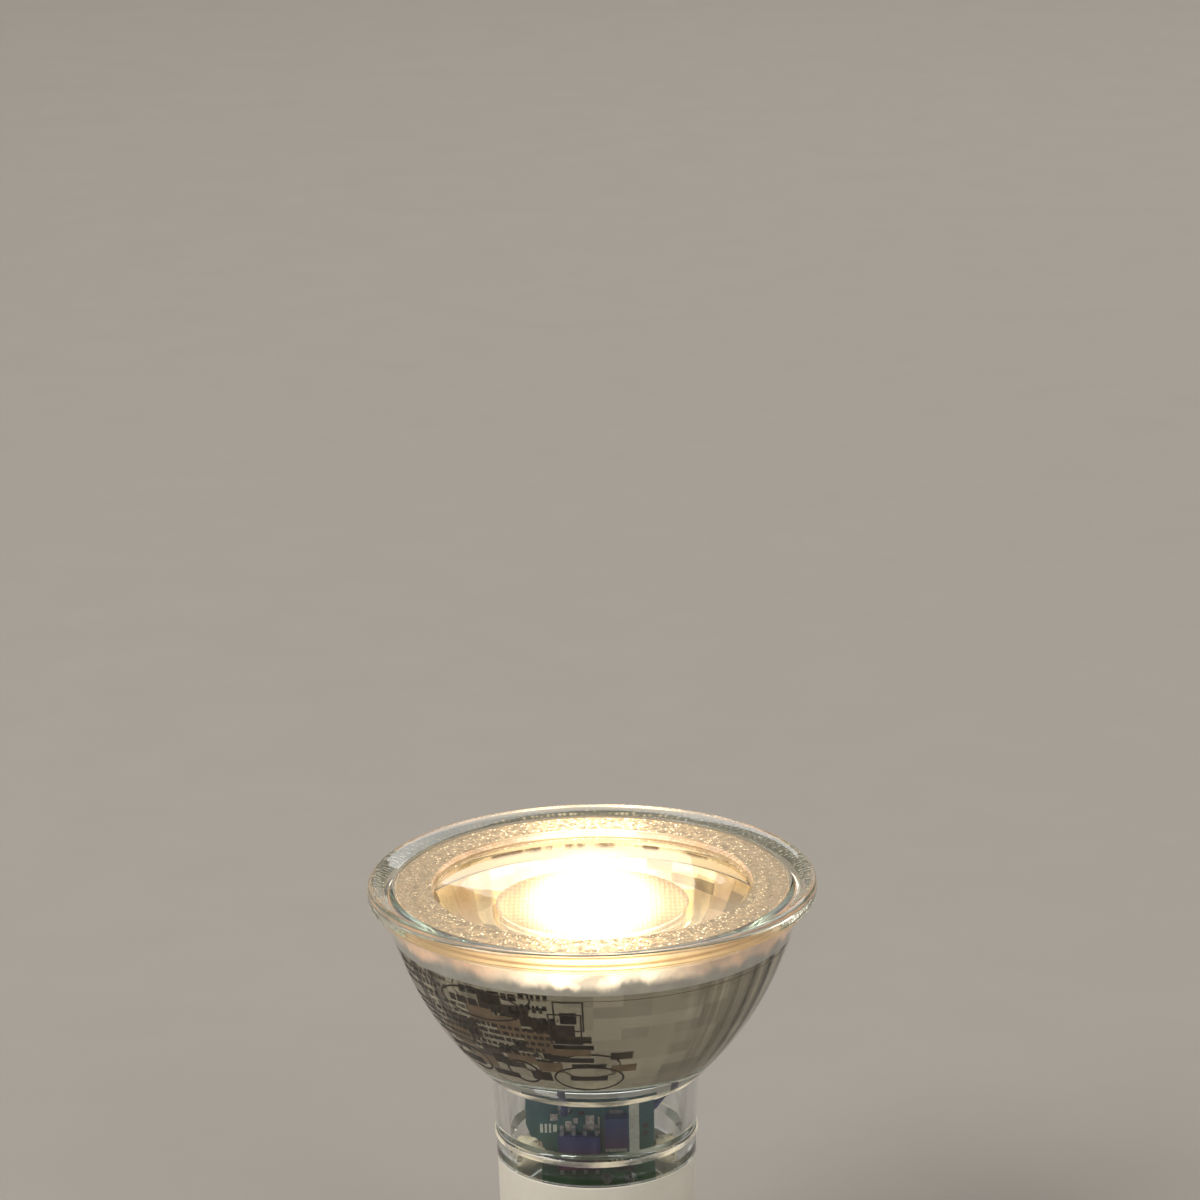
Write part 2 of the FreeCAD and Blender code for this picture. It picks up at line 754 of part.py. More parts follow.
def make_packages():
    chips = [
        ("driver_chip", "chip", "chip_leads", f"({BOARD_TOP} - chip_drop)", True),
        ("bridge_rectifier", "bridge", "2", f"({BOARD_BOTTOM} + bridge_rise)", False),
    ]
    for name, size, count, height, front in chips:
        body = new_body(name)
        sketch = new_sketch(body, f"{name}_outline", "XY_Plane", "chip_standoff")
        draw_outline(sketch, rectangle(f"({size}_length / 2)", f"(-{size}_width / 2)", f"({size}_width / 2)"))
        padded(body, sketch, f"{name}_case", f"{size}_height - chip_standoff")
        add_leads(body, name, size, count)
        seat_on_board(body, f"{size}_x", height, front)
        keep(body, name)
    body = new_body("output_diode")
    case = new_sketch(body, "output_diode_outline", "XY_Plane")
    draw_outline(case, rectangle("(diode_width / 2)", "(-diode_length / 2)", "(diode_length / 2)"))
    padded(body, case, "output_diode_case", "diode_height")
    tabs = new_sketch(body, "output_diode_tabs", "XY_Plane")
    reach = "(diode_length / 2 + tab_reach)"
    draw_outline(tabs, rectangle("(tab_width / 2)", f"-{reach}", reach))
    padded(body, tabs, "output_diode_tab_strip", "tab_thickness")
    seat_on_board(body, "diode_x", f"({BOARD_TOP} - diode_drop)")
    keep(body, "output_diode")


def small_chips(name, size, front, back=""):
    """Two-ended chips laid across the board's front and back, as one group of separate solids."""
    chips = []
    for letter in front + back:
        chip = primitive("Box", f"{name}_chip", Length="small_chip_length", Width="small_chip_width")
        bind(chip, Height=f"{size}_chip_height")
        inset = "- small_chip_length / 2" if letter in front else "+ small_chip_length / 2"
        height = f"{BOARD_TOP} - {size}_{letter}_drop - small_chip_width / 2"
        chips.append(seat_on_board(chip, f"{size}_{letter}_x {inset}", height, letter in front))
    keep(joined("Compound", name, chips), name)


# Parts behind the board


def lead_path(hole, y, start_z):
    """A lead that leaves a component upright, turns and passes through its hole in the board."""
    x, height = HOLES[hole]
    return [point(x, y, start_z), point(x, y, height), point(x, LEAD_TIP, height)]


def make_capacitor():
    low = CAN_LOW
    groove = f"({low} + can_groove_rise)"
    waist = "(can_radius - can_groove_depth)"
    body = turned("filter_capacitor", [
        ("0", low),
        ("can_radius", low, ("round", "can_round")),
        ("can_radius", f"{groove} - can_groove_width / 2"),
        (waist, groove),
        ("can_radius", f"{groove} + can_groove_width / 2"),
        ("can_radius", f"{low} + can_length", ("round", "can_round")),
        ("0", f"{low} + can_length"),
    ])
    keep(move(body, "can_x", CAN_Y), "filter_capacitor")
    paths = [lead_path(hole, CAN_Y, low) for hole in ("can_left", "can_right")]
    wires("capacitor_leads", paths, "lead_radius", "lead_bend")


def make_inductor():
    low = COIL_LOW
    high = f"({low} + coil_length)"
    core = turned("inductor_core", [
        ("0", low),
        ("coil_radius", low),
        ("coil_radius", f"{low} + coil_flange"),
        ("coil_post_radius", f"{low} + coil_flange"),
        ("coil_post_radius", f"{high} - coil_flange"),
        ("coil_radius", f"{high} - coil_flange"),
        ("coil_radius", high),
        ("0", high),
    ])
    keep(move(core, "coil_x", COIL_Y), "inductor_core")
    outer = "(coil_radius - winding_inset)"
    winding = turned("inductor_winding", [
        ("coil_post_radius", f"{low} + coil_flange"),
        (outer, f"{low} + coil_flange"),
        (outer, f"{high} - coil_flange"),
        ("coil_post_radius", f"{high} - coil_flange"),
    ])
    keep(move(winding, "coil_x", COIL_Y), "inductor_winding")
    paths = [lead_path(hole, COIL_Y, high) for hole in ("coil_left", "coil_right")]
    wires("inductor_leads", paths, "lead_radius", "lead_bend")


def make_fuse():
    """The resistor over the left pin, with a lead down into the pin and one up to the board."""
    low = FUSE_LOW
    high = f"({low} + fuse_length)"
    waist = "(fuse_radius - fuse_waist)"
    body = turned("fusible_resistor", [
        ("0", low),
        ("fuse_radius", low, ("round", "fuse_round")),
        ("fuse_radius", f"{low} + fuse_cap_length"),
        (waist, f"{low} + fuse_cap_length + fuse_waist"),
        (waist, f"{high} - fuse_cap_length - fuse_waist"),
        ("fuse_radius", f"{high} - fuse_cap_length"),
        ("fuse_radius", high, ("round", "fuse_round")),
        ("0", high),
    ])
    keep(move(body, FUSE_X, "0"), "fusible_resistor")
    lower = [point(FUSE_X, "0", low), point(FUSE_X, "0", PIN_BORE_END)]
    wires("resistor_leads", [lead_path("fuse", "0", high), lower], "lead_radius", "lead_bend")


def make_pin_wire():
    """The bare wire from inside the right pin to the board."""
    wires("pin_wire", [lead_path("right_pin", "0", PIN_BORE_END)], "lead_radius", "pin_wire_bend")


def make_led_wires():
    """The plus wire hangs in a slack loop behind the board, the minus wire rises before it. Both pass the
    light board and lie on its face."""
    lie = f"({LED_FACE} + wire_radius)"
    inner = "(led_hole_circle - wire_tail)"
    behind = f"(wire_back_gap + wire_radius - {BOARD_BACK})"
    before = "(-board_front - wire_stand_off)"
    plus_x, plus_z = WIRE_HOLES["plus"]
    minus_x, minus_z = WIRE_HOLES["minus"]
    loop_z = f"({plus_z} - wire_loop_drop)"
    starts = {
        "plus": [(plus_x, LEAD_TIP, plus_z), (plus_x, behind, plus_z),
                 (f"({plus_x} + wire_loop_reach)", behind, loop_z)],
        "minus": [(minus_x, f"(-{BOARD_BACK})", minus_z), (minus_x, before, minus_z)],
    }
    turns = {"plus": f"({loop_z} + wire_loop_rise)", "minus": BOARD_TOP}
    for side, first in starts.items():
        angle = f"led_wire_angle_{side}"
        end = (f"({inner} * cos({angle} * 1 deg))", f"({inner} * sin({angle} * 1 deg))", lie)
        run = first + [hole_point(angle, turns[side]), hole_point(angle, lie), end]
        wires(f"led_wire_{side}", [[point(*spot) for spot in run]], "wire_radius", "led_wire_bend")


# Base and pins


def base_flat(side, inset):
    """The block that cuts one flat across the base's end, or with an inset the wall behind it."""
    face = f"(base_flat_width / 2 - {inset})"
    block = primitive("Box", "base_flat", Length="4 * neck_foot_radius", Width="neck_foot_radius")
    bind(block, Height=f"base_height + base_flat_height + {inset}")
    y = face if side > 0 else f"-{face} - neck_foot_radius"
    return move(block, "-2 * neck_foot_radius", y, "-base_height")


def make_base():
    collar = "(neck_foot_radius - collar_step)"
    collar_foot = f"({collar} - collar_draft)"
    end_top = "(base_end_radius + base_end_draft)"
    shell = turned("base_shell", [
        ("0", "0"),
        ("base_end_radius", "0", ("round", "base_end_round")),
        (end_top, "base_end_rise"),
        (collar_foot, "shoulder_height", ("round", "shoulder_round")),
        (collar, "base_height", ("round", "collar_edge_round")),
        ("0", "base_height"),
    ])
    outer_flats = [base_flat(side, "0") for side in (1, -1)]
    outside = cut("base_outside", shell, joined("MultiFuse", "base_flats", outer_flats))
    ledge = f"({SPIGOT_END} - fit_clearance)"
    cavity = f"({SPIGOT_BORE})"
    hollow = turned("base_hollow", [
        ("0", "base_floor"),
        ("(base_end_radius - base_wall)", "base_floor"),
        ("(base_end_radius - base_wall)", "base_end_rise"),
        (cavity, "shoulder_height"),
        (cavity, ledge),
        (COLLAR_BORE, ledge),
        (COLLAR_BORE, "base_height"),
        ("0", "base_height"),
    ])
    guides = []
    slots = []
    for side, edge in ((1, "board_right"), (-1, "board_left")):
        lip = f"({edge} + board_clearance - guide_width)"
        guide = primitive("Box", "base_guide", Length="neck_foot_radius")
        bind(guide, Width="board_thickness + 2 * board_clearance + 2 * guide_lip")
        bind(guide, Height=f"{GUIDE_TOP} - guide_bottom")
        x = lip if side > 0 else f"-{lip} - neck_foot_radius"
        guides.append(move(guide, x, "-board_front - board_clearance - guide_lip", "guide_bottom"))
        slot = primitive("Box", "base_slot", Length="guide_width + board_clearance", Height=GUIDE_TOP)
        bind(slot, Width="board_thickness + 2 * board_clearance")
        x = f"{lip} - board_clearance" if side > 0 else f"-{lip} - guide_width"
        slots.append(move(slot, x, "-board_front - board_clearance", BOARD_BOTTOM))
    inner_flats = [base_flat(side, "base_wall") for side in (1, -1)]
    open_inside = cut("base_inside", hollow, joined("MultiFuse", "base_guides", guides + inner_flats))
    cup = cut("base_cup", outside, open_inside)
    holes = []
    for side in ("-", ""):
        hole = primitive("Cylinder", "pin_hole", Radius="pin_shank_radius", Height="base_floor")
        holes.append(move(hole, f"{side}pin_spacing / 2"))
    keep(cut("base_cap", cup, joined("MultiFuse", "base_cuts", slots + holes)), "base_cap")


def make_pins():
    top = "(base_floor + pin_collar_height)"
    head_top = "(pin_head_length - pin_length)"
    for name, side in (("contact_pin_left", "-"), ("contact_pin_right", "")):
        body = turned(name, [
            ("0", "-pin_length"),
            ("pin_head_radius", "-pin_length", ("round", "pin_head_round")),
            ("pin_head_radius", head_top),
            ("pin_shank_radius", head_top),
            ("pin_shank_radius", "base_floor"),
            ("pin_collar_radius", "base_floor"),
            ("pin_collar_radius", top),
            ("lead_radius", top),
            ("lead_radius", PIN_BORE_END),
            ("0", PIN_BORE_END),
        ])
        keep(move(body, f"{side}pin_spacing / 2"), name)


# Silicone


def make_silicone(glass, board):
    """Dabs that fill the gap between the board's edges and the glass."""
    for name, side, edge in (("silicone_left", "-", "board_left"), ("silicone_right", "", "board_right")):
        dab = primitive("Sphere", f"{name}_blob", Radius=f"({FOOT_BORE} - {edge}) / 2 + dab_reach")
        move(dab, f"{side}({FOOT_BORE} + {edge}) / 2", "-board_front + board_thickness / 2",
             "base_height + dab_rise")
        inside = cut(f"{name}_inside", dab, glass)
        keep(cut(name, inside, board), name)


def check_and_write():
    """Every object must be sound before any file is written."""
    doc.recompute()
    for item in doc.Objects:
        if {"Invalid", "Error"} & set(item.State):
            raise RuntimeError(f"{item.Name} failed: {item.State}")
    for part in parts:
        if part.Shape.isNull() or not part.Shape.isValid():
            raise RuntimeError(f"{part.Label} has no sound shape")
    os.makedirs("parts", exist_ok=True)
    for part in parts:
        part.Shape.exportStep(f"parts/{part.Label}.step")
        box = part.Shape.BoundBox
        print(f"{part.Label}: {len(part.Shape.Solids)} solids, {part.Shape.Volume:.2f} mm3, "
              f"z {box.ZMin:.2f} to {box.ZMax:.2f}")


make_glass()
make_lens()
make_lens_adhesive()
make_light_source()
make_board()
make_solder()
make_packages()
small_chips("chip_resistors", "resistor", "abcde", "f")
small_chips("chip_capacitors", "ceramic", "abc")
make_capacitor()
make_inductor()
make_fuse()
make_pin_wire()
make_led_wires()
make_base()
make_pins()
by_label = {part.Label: part for part in parts}
make_silicone(by_label["glass_envelope"], by_label["driver_board"])
check_and_write()
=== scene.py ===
import math
import random

import bpy
from mathutils import Matrix, Vector
from mathutils import noise as mathutils_noise


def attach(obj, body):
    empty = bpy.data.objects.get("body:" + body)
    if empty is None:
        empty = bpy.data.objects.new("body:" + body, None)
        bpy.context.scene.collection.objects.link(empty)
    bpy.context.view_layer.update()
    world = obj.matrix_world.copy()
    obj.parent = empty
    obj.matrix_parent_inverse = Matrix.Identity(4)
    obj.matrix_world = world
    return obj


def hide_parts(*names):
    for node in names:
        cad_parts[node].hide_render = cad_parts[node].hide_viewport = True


# The lit spotlight bulb, dressed for a studio shot
#
# Blender works in metres. Here the sizes, and the heights, radii and bump depths of materials, are in
# millimetres, in the frame of the solids: the origin is the centre of the base's end face, and +Z runs up
# the bulb's axis to the lens. Textures' scales, subsurface radii and the lamps stay in metres.

MM = 0.001

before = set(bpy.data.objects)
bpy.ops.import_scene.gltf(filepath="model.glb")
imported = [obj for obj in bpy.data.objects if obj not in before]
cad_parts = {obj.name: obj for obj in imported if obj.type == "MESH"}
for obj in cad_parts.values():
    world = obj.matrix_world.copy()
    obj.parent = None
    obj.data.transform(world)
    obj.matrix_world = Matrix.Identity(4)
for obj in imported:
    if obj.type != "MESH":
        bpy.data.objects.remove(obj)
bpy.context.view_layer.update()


# Driving sizes, the same as those of the solids

# base and spigot
PIN_LENGTH = 7.0
BASE_HEIGHT = 14.4
COLLAR_WALL = 0.95
FIT_CLEARANCE = 0.1
SPIGOT_LENGTH = 5.0
SPIGOT_WALL = 1.3
SPIGOT_ROUND = 0.3
# neck
FOOT_HEIGHT = 2.76
FOOT_WALL = 2.2
FOOT_SLOPE = 0.9
RIB_WIDTH = 0.8
RIB_ROUND = 0.5
NECK_LENGTH = 10.0
NECK_RADIUS = 11.26
NECK_TOP_RADIUS = 11.8
NECK_WALL = 1.55
NECK_ROUND = 0.45
# bowl
LIP_HEIGHT = 0.9
LIP_OVERHANG = 1.07
LIP_CHAMFER = 0.4
ARC_RISE = 5.2
BOWL_WALL = 1.7
BORE_FLARE = 0.8
PANE_COLUMNS = 40
PANE_ROWS = 9
PANES_HEIGHT = 13.4
BAND_HEIGHT = 3.35
# rim
RIM_RADIUS = 25.0
RIM_WIDTH = 2.94
RIM_LAND = 1.0
RIM_FALL = 0.5
RIM_EDGE_HEIGHT = 1.8
RIM_OVERHANG = 1.5
RIM_DEPTH = 2.5
RIM_SKIRT = 0.4
RIM_SKIRT_INSET = 0.45
RIM_ROUND = 0.7
RIM_INNER_ROUND = 0.2
# lens
LENS_CLEARANCE = 0.16
LENS_RECESS = 0.7
FLANGE_THICKNESS = 1.5
FLANGE_WIDTH = 4.0
FLANGE_ROUND = 0.25
LENS_STEP = 1.2
STEP_DRAFT = 0.25
WINDOW_FALL = 1.2
WINDOW_THICKNESS = 1.2
WINDOW_ARC = 60.0
DISC_RADIUS = 10.0
COLLIMATOR_SWELL = 0.6
COLLIMATOR_ARC = 28.0
COLLIMATOR_GAP = 0.4
MOUTH_RADIUS = 6.1
WELL_RADIUS = 5.3
WELL_TOP_RADIUS = 4.5
WELL_DEPTH = 4.6
WELL_CROWN = 1.2
# sealant and light source
SEALANT_FILM = 0.15
LED_SEAT_RISE = 2.6
LED_BOARD_THICKNESS = 1.5

# Heights of the stack, from the end face up
SPIGOT_END = BASE_HEIGHT - SPIGOT_LENGTH
RIB_MIDDLE = BASE_HEIGHT + FOOT_HEIGHT
RIB_FOOT = RIB_MIDDLE - RIB_WIDTH / 2
RIB_TOP = RIB_MIDDLE + RIB_WIDTH / 2
NECK_TOP = BASE_HEIGHT + NECK_LENGTH
BOWL_FOOT = NECK_TOP + LIP_HEIGHT
LED_SEAT = BOWL_FOOT + LED_SEAT_RISE
PANE_TOP = LED_SEAT + PANES_HEIGHT
LENS_SEAT = PANE_TOP + BAND_HEIGHT
FLANGE_FOOT = LENS_SEAT + SEALANT_FILM
FLANGE_TOP = FLANGE_FOOT + FLANGE_THICKNESS
RIM_TOP = FLANGE_TOP + LENS_RECESS
RIM_EDGE_FOOT = RIM_TOP - RIM_EDGE_HEIGHT
RIM_FOOT = RIM_TOP - RIM_DEPTH
SKIRT_FOOT = RIM_FOOT - RIM_SKIRT
STEP_FOOT = FLANGE_TOP - LENS_STEP
DISC_TOP = STEP_FOOT - WINDOW_FALL
COLLIMATOR_TOP = DISC_TOP - WINDOW_THICKNESS
MOUTH_HEIGHT = LED_SEAT + LED_BOARD_THICKNESS + COLLIMATOR_GAP
WELL_TOP = MOUTH_HEIGHT + WELL_DEPTH

# Radii that neighbours share
SPIGOT_RADIUS = NECK_RADIUS - COLLAR_WALL - FIT_CLEARANCE
BORE_TOP_RADIUS = NECK_TOP_RADIUS - NECK_WALL
LIP_RADIUS = NECK_TOP_RADIUS + LIP_OVERHANG
RIM_FOOT_RADIUS = RIM_RADIUS - RIM_OVERHANG
SKIRT_RADIUS = RIM_FOOT_RADIUS - RIM_SKIRT_INSET
SEAT_RADIUS = RIM_RADIUS - RIM_WIDTH
LENS_RADIUS = SEAT_RADIUS - LENS_CLEARANCE
WINDOW_RADIUS = LENS_RADIUS - FLANGE_WIDTH
STEP_RADIUS = WINDOW_RADIUS - STEP_DRAFT
COLLIMATOR_RADIUS = DISC_RADIUS + COLLIMATOR_SWELL

# The bowl's curve runs from its lip over the neck to the rim's skirt
ARC_CENTRE_Z = RIM_TOP + ARC_RISE
LIP_DROP = ARC_CENTRE_Z - BOWL_FOOT
SKIRT_DROP = ARC_CENTRE_Z - SKIRT_FOOT
DROP_PER_RADIUS = (LIP_DROP ** 2 - SKIRT_DROP ** 2) / (SKIRT_RADIUS - LIP_RADIUS)
ARC_INSET = (DROP_PER_RADIUS - SKIRT_RADIUS - LIP_RADIUS) / 2
ARC_RADIUS = math.hypot(LIP_RADIUS + ARC_INSET, LIP_DROP)


# Node materials


def new_material(name):
    material = bpy.data.materials.new(name)
    material.use_nodes = True
    tree = material.node_tree
    shader = tree.nodes["Principled BSDF"]
    return material, tree, shader


def linear(color):
    """Linear colour of an 8-bit display colour."""
    parts = [channel / 255 for channel in color]
    return [part / 12.92 if part <= 0.04045 else ((part + 0.055) / 1.055) ** 2.4 for part in parts] + [1.0]


def add(tree, kind, **values):
    node = tree.nodes.new(kind)
    for name, item in values.items():
        if hasattr(node, name):
            setattr(node, name, item)
        else:
            node.inputs[name.replace("_", " ")].default_value = item
    return node


def plug(tree, item, socket):
    """Sets a socket to a plain value, or links a node's output to it."""
    if isinstance(item, bpy.types.NodeSocket):
        tree.links.new(item, socket)
    else:
        socket.default_value = item


def set_inputs(tree, shader, **values):
    for name, item in values.items():
        plug(tree, item, shader.inputs[name.replace("_", " ")])


def coordinates(tree, space="Object"):
    return add(tree, "ShaderNodeTexCoord").outputs[space]


def noise(tree, scale, detail=3.0, stretch=None, space="Object"):
    """Noise in object space; stretch scales the axes one by one."""
    texture = add(tree, "ShaderNodeTexNoise", Scale=scale, Detail=detail, Roughness=0.5)
    source = coordinates(tree, space)
    if stretch:
        mapping = add(tree, "ShaderNodeMapping", Scale=stretch)
        tree.links.new(source, mapping.inputs["Vector"])
        source = mapping.outputs["Vector"]
    tree.links.new(source, texture.inputs["Vector"])
    return texture.outputs["Fac"]


def ramp(tree, source, stops):
    node = add(tree, "ShaderNodeValToRGB")
    elements = node.color_ramp.elements
    while len(elements) < len(stops):
        elements.new(0.5)
    for element, (place, color) in zip(elements, stops):
        element.position = place
        element.color = color
    tree.links.new(source, node.inputs["Fac"])
    return node.outputs["Color"]


def scaled(tree, source, to, over=(0.0, 1.0), smooth=False):
    """The source stretched from the range over to the range to, and held at its ends."""
    node = add(tree, "ShaderNodeMapRange", From_Min=over[0], From_Max=over[1], To_Min=to[0], To_Max=to[1])
    if smooth:
        node.interpolation_type = "SMOOTHSTEP"
    tree.links.new(source, node.inputs["Value"])
    return node.outputs["Result"]


def math_node(tree, operation, *items):
    node = add(tree, "ShaderNodeMath", operation=operation)
    for item, socket in zip(items, node.inputs):
        plug(tree, item, socket)
    return node.outputs[0]


def product(tree, *items):
    total = items[0]
    for item in items[1:]:
        total = math_node(tree, "MULTIPLY", total, item)
    return total


# Places of the colour sockets among those of a Mix node
MIX_FACTOR, MIX_FIRST, MIX_SECOND, MIX_RESULT = 0, 6, 7, 2


def mixed(tree, factor, first, second, blend="MIX"):
    """Two colours mixed; the factor and the colours are plain values or outputs of nodes."""
    node = add(tree, "ShaderNodeMix", data_type="RGBA", blend_type=blend)
    plug(tree, factor, node.inputs[MIX_FACTOR])
    plug(tree, first, node.inputs[MIX_FIRST])
    plug(tree, second, node.inputs[MIX_SECOND])
    return node.outputs[MIX_RESULT]


def bump(tree, shader, height, strength, depth):
    node = add(tree, "ShaderNodeBump", Strength=strength, Distance=depth * MM)
    tree.links.new(height, node.inputs["Height"])
    tree.links.new(node.outputs["Normal"], shader.inputs["Normal"])


def dots_of(tree, scale, randomness, stretch=(1.0, 1.0, 1.0)):
    """The distance from the middle of each cell of a field of dots."""
    dots = add(tree, "ShaderNodeTexVoronoi", Scale=scale, Randomness=randomness)
    rows = add(tree, "ShaderNodeMapping", Scale=stretch)
    tree.links.new(coordinates(tree), rows.inputs["Vector"])
    tree.links.new(rows.outputs["Vector"], dots.inputs["Vector"])
    return dots.outputs["Distance"]


def split_place(tree):
    """The object-space coordinates one by one, in millimetres."""
    place = add(tree, "ShaderNodeVectorMath", operation="SCALE", Scale=1.0 / MM)
    split = add(tree, "ShaderNodeSeparateXYZ")
    tree.links.new(coordinates(tree), place.inputs[0])
    tree.links.new(place.outputs["Vector"], split.inputs[0])
    return split.outputs


def height_of(tree):
    return split_place(tree)["Z"]


def sideways(tree):
    """Distance to the left or right of the middle."""
    return math_node(tree, "ABSOLUTE", split_place(tree)["X"])


def radius_of(tree, depth_share=1.0):
    """Distance from the bulb's axis; a depth share below 1 draws it out to the front and back."""
    place = split_place(tree)
    across = math_node(tree, "POWER", place["X"], 2.0)
    along = product(tree, math_node(tree, "POWER", place["Y"], 2.0), depth_share)
    return math_node(tree, "SQRT", math_node(tree, "ADD", across, along))


def wave(tree, source, turn):
    """A sine of the source, with so many radians to the millimetre."""
    return math_node(tree, "SINE", product(tree, source, turn))


def fine_rings(tree):
    """A wave from -1 to 1 across the radius and the height, for rings about the bulb's axis."""
    return wave(tree, math_node(tree, "ADD", radius_of(tree), height_of(tree)), 8.0)


def front_and_back(tree, side, ends, peak=0.0, reach=17.0):
    """A factor that is low at the bulb's two sides, from the reach outward, and high at its front and
    back, where a peak may add to it."""
    across = sideways(tree)
    broad = scaled(tree, across, (ends, side), (4.0, reach), smooth=True)
    if not peak:
        return broad
    return math_node(tree, "ADD", broad, scaled(tree, across, (peak, 0.0), (3.0, 8.5), smooth=True))


def two_tone(tree, source, low, high):
    """The colour that goes from low to high as the source goes from 0.2 to 0.9."""
    return ramp(tree, source, [(0.2, low), (0.9, high)])


def surface(name, color, dark, roughness, scale=900.0, bump_scale=3000.0, bump_depth=0.02, **values):
    """An opaque finish: two close colours mixed by noise, uneven gloss and a fine bump."""
    material, tree, shader = new_material(name)
    tint = ramp(tree, noise(tree, scale), [(0.3, linear(dark)), (0.7, linear(color))])
    gloss = scaled(tree, noise(tree, scale * 0.4), (roughness * 0.8, min(roughness * 1.25, 1.0)), (0.3, 0.7))
    bump(tree, shader, noise(tree, bump_scale), 0.5, bump_depth)
    set_inputs(tree, shader, Base_Color=tint, Roughness=gloss, **values)
    return material


def absorb(tree, tint, density):
    """Tint that deepens with the way through the piece."""
    volume = add(tree, "ShaderNodeVolumeAbsorption", Color=tint, Density=density)
    tree.links.new(volume.outputs[0], tree.nodes["Material Output"].inputs["Volume"])


def lamps_through(tree, shader, tint):
    """Lets lamp light and soft light pass a clear piece, tinted, so it casts a pale shadow."""
    path = add(tree, "ShaderNodeLightPath")
    clear = add(tree, "ShaderNodeBsdfTransparent", Color=tint)
    mix = add(tree, "ShaderNodeMixShader")
    passing = math_node(tree, "MAXIMUM", path.outputs["Is Shadow Ray"], path.outputs["Is Diffuse Ray"])
    tree.links.new(passing, mix.inputs[0])
    tree.links.new(shader.outputs[0], mix.inputs[1])
    tree.links.new(clear.outputs[0], mix.inputs[2])
    tree.links.new(mix.outputs[0], tree.nodes["Material Output"].inputs["Surface"])


def streaks_about(tree, scale):
    """Noise that changes only with the angle about the bulb's axis."""
    place = split_place(tree)
    streaks = add(tree, "ShaderNodeTexNoise", noise_dimensions="1D", Scale=scale, Detail=2.0, Roughness=0.5)
    tree.links.new(math_node(tree, "ARCTAN2", place["Y"], place["X"]), streaks.inputs["W"])
    return streaks.outputs["Fac"]


def make_glass_clear():
    """Clear pressed glass with faint waves in its skin, painted reflection streaks in the neck and a warm
    rim.
    """
    material, tree, shader = new_material("glass_clear")
    clear, painted_streak_grey, warm = (0.99, 0.995, 0.985, 1), (0.80, 0.81, 0.83, 1), (0.90, 0.82, 0.67, 1)
    bump(tree, shader, noise(tree, 260.0, 2.0), 0.6, 0.03)
    lamps_through(tree, shader, clear)
    absorb(tree, (0.62, 0.84, 0.79, 1), 22.0)
    # painted reflection streaks: smoky grey round the neck, clear from the neck's top up
    lines = scaled(tree, streaks_about(tree, 5.0), (0.0, 1.0), (0.36, 0.6), smooth=True)
    above_neck = scaled(tree, height_of(tree), (0.0, 1.0), (NECK_TOP - 0.9, NECK_TOP + 0.6))
    streaked = ramp(tree, math_node(tree, "MAXIMUM", lines, above_neck), [(0.0, painted_streak_grey), (1.0, clear)])
    in_rim = scaled(tree, height_of(tree), (0.0, 1.0), (RIM_FOOT - 0.5, RIM_FOOT + 0.3))
    set_inputs(tree, shader, Base_Color=mixed(tree, in_rim, streaked, warm), Roughness=0.0, IOR=1.5,
               Transmission_Weight=1.0)
    return material


glass_clear = make_glass_clear()


def upright_streaks(tree, color):
    """The colour with painted light and dark reflection streaks along the bowl's panes towards its sides."""
    reflection_streak = ramp(tree, streaks_about(tree, 9.0), [
        (0.36, (0.46, 0.45, 0.45, 1)), (0.5, (1.0, 1.0, 1.0, 1)), (0.66, (1.5, 1.52, 1.54, 1))])
    at_sides = scaled(tree, sideways(tree), (0.0, 0.9), (8.5, 13.5), smooth=True)
    return mixed(tree, at_sides, color, reflection_streak, "MULTIPLY")


def make_mirror(name, low, high, roughness, streaked=False):
    """A thin metal film on the bowl's panes, with painted reflection streaks when streaked."""
    material, tree, shader = new_material(name)
    tone = ramp(tree, noise(tree, 180.0, 2.0), [(0.3, low), (0.7, high)])
    if streaked:
        tone = upright_streaks(tree, tone)
    gloss = scaled(tree, noise(tree, 500.0), (roughness * 0.6, roughness * 1.4), (0.3, 0.7))
    set_inputs(tree, shader, Base_Color=tone, Roughness=gloss, Metallic=1.0)
    bump(tree, shader, noise(tree, 700.0, 2.0), 0.5, 0.02)
    return material


# Film tones for the panes, streaked with painted reflections towards the sides
coat_tones = [make_mirror(f"coat_{letter}", low, high, 0.09, streaked=True) for letter, low, high in (
    ("a", (0.45, 0.42, 0.33, 1), (0.50, 0.46, 0.37, 1)),
    ("b", (0.51, 0.47, 0.37, 1), (0.56, 0.52, 0.42, 1)),
    ("c", (0.39, 0.36, 0.29, 1), (0.45, 0.41, 0.33, 1)),
)]


def make_lining_tone(name, low, high, glow):
    """The film's gold side, with a painted glow from the source below, stronger higher up and at the front
    and back.
    """
    material = make_mirror(name, low, high, 0.14)
    tree = material.node_tree
    up = scaled(tree, height_of(tree), (glow * 0.6, glow), (30.0, 40.0))
    uneven = scaled(tree, noise(tree, 330.0, 3.0), (0.7, 1.25), (0.3, 0.7))
    light = product(tree, up, uneven, front_and_back(tree, 0.4, 1.0))
    shader = tree.nodes["Principled BSDF"]
    set_inputs(tree, shader, Emission_Color=(1.0, 0.80, 0.46, 1), Emission_Strength=light)
    return material


# lit and shaded copies of the gold film, each with its own painted glow
lining_tones = [make_lining_tone(f"lining_{letter}", low, high, glow) for letter, low, high, glow in (
    ("a", (0.62, 0.50, 0.28, 1), (0.70, 0.57, 0.34, 1), 0.36),
    ("b", (0.74, 0.61, 0.38, 1), (0.82, 0.69, 0.45, 1), 0.55),
    ("c", (0.34, 0.27, 0.14, 1), (0.44, 0.35, 0.19, 1), 0.10),
)]


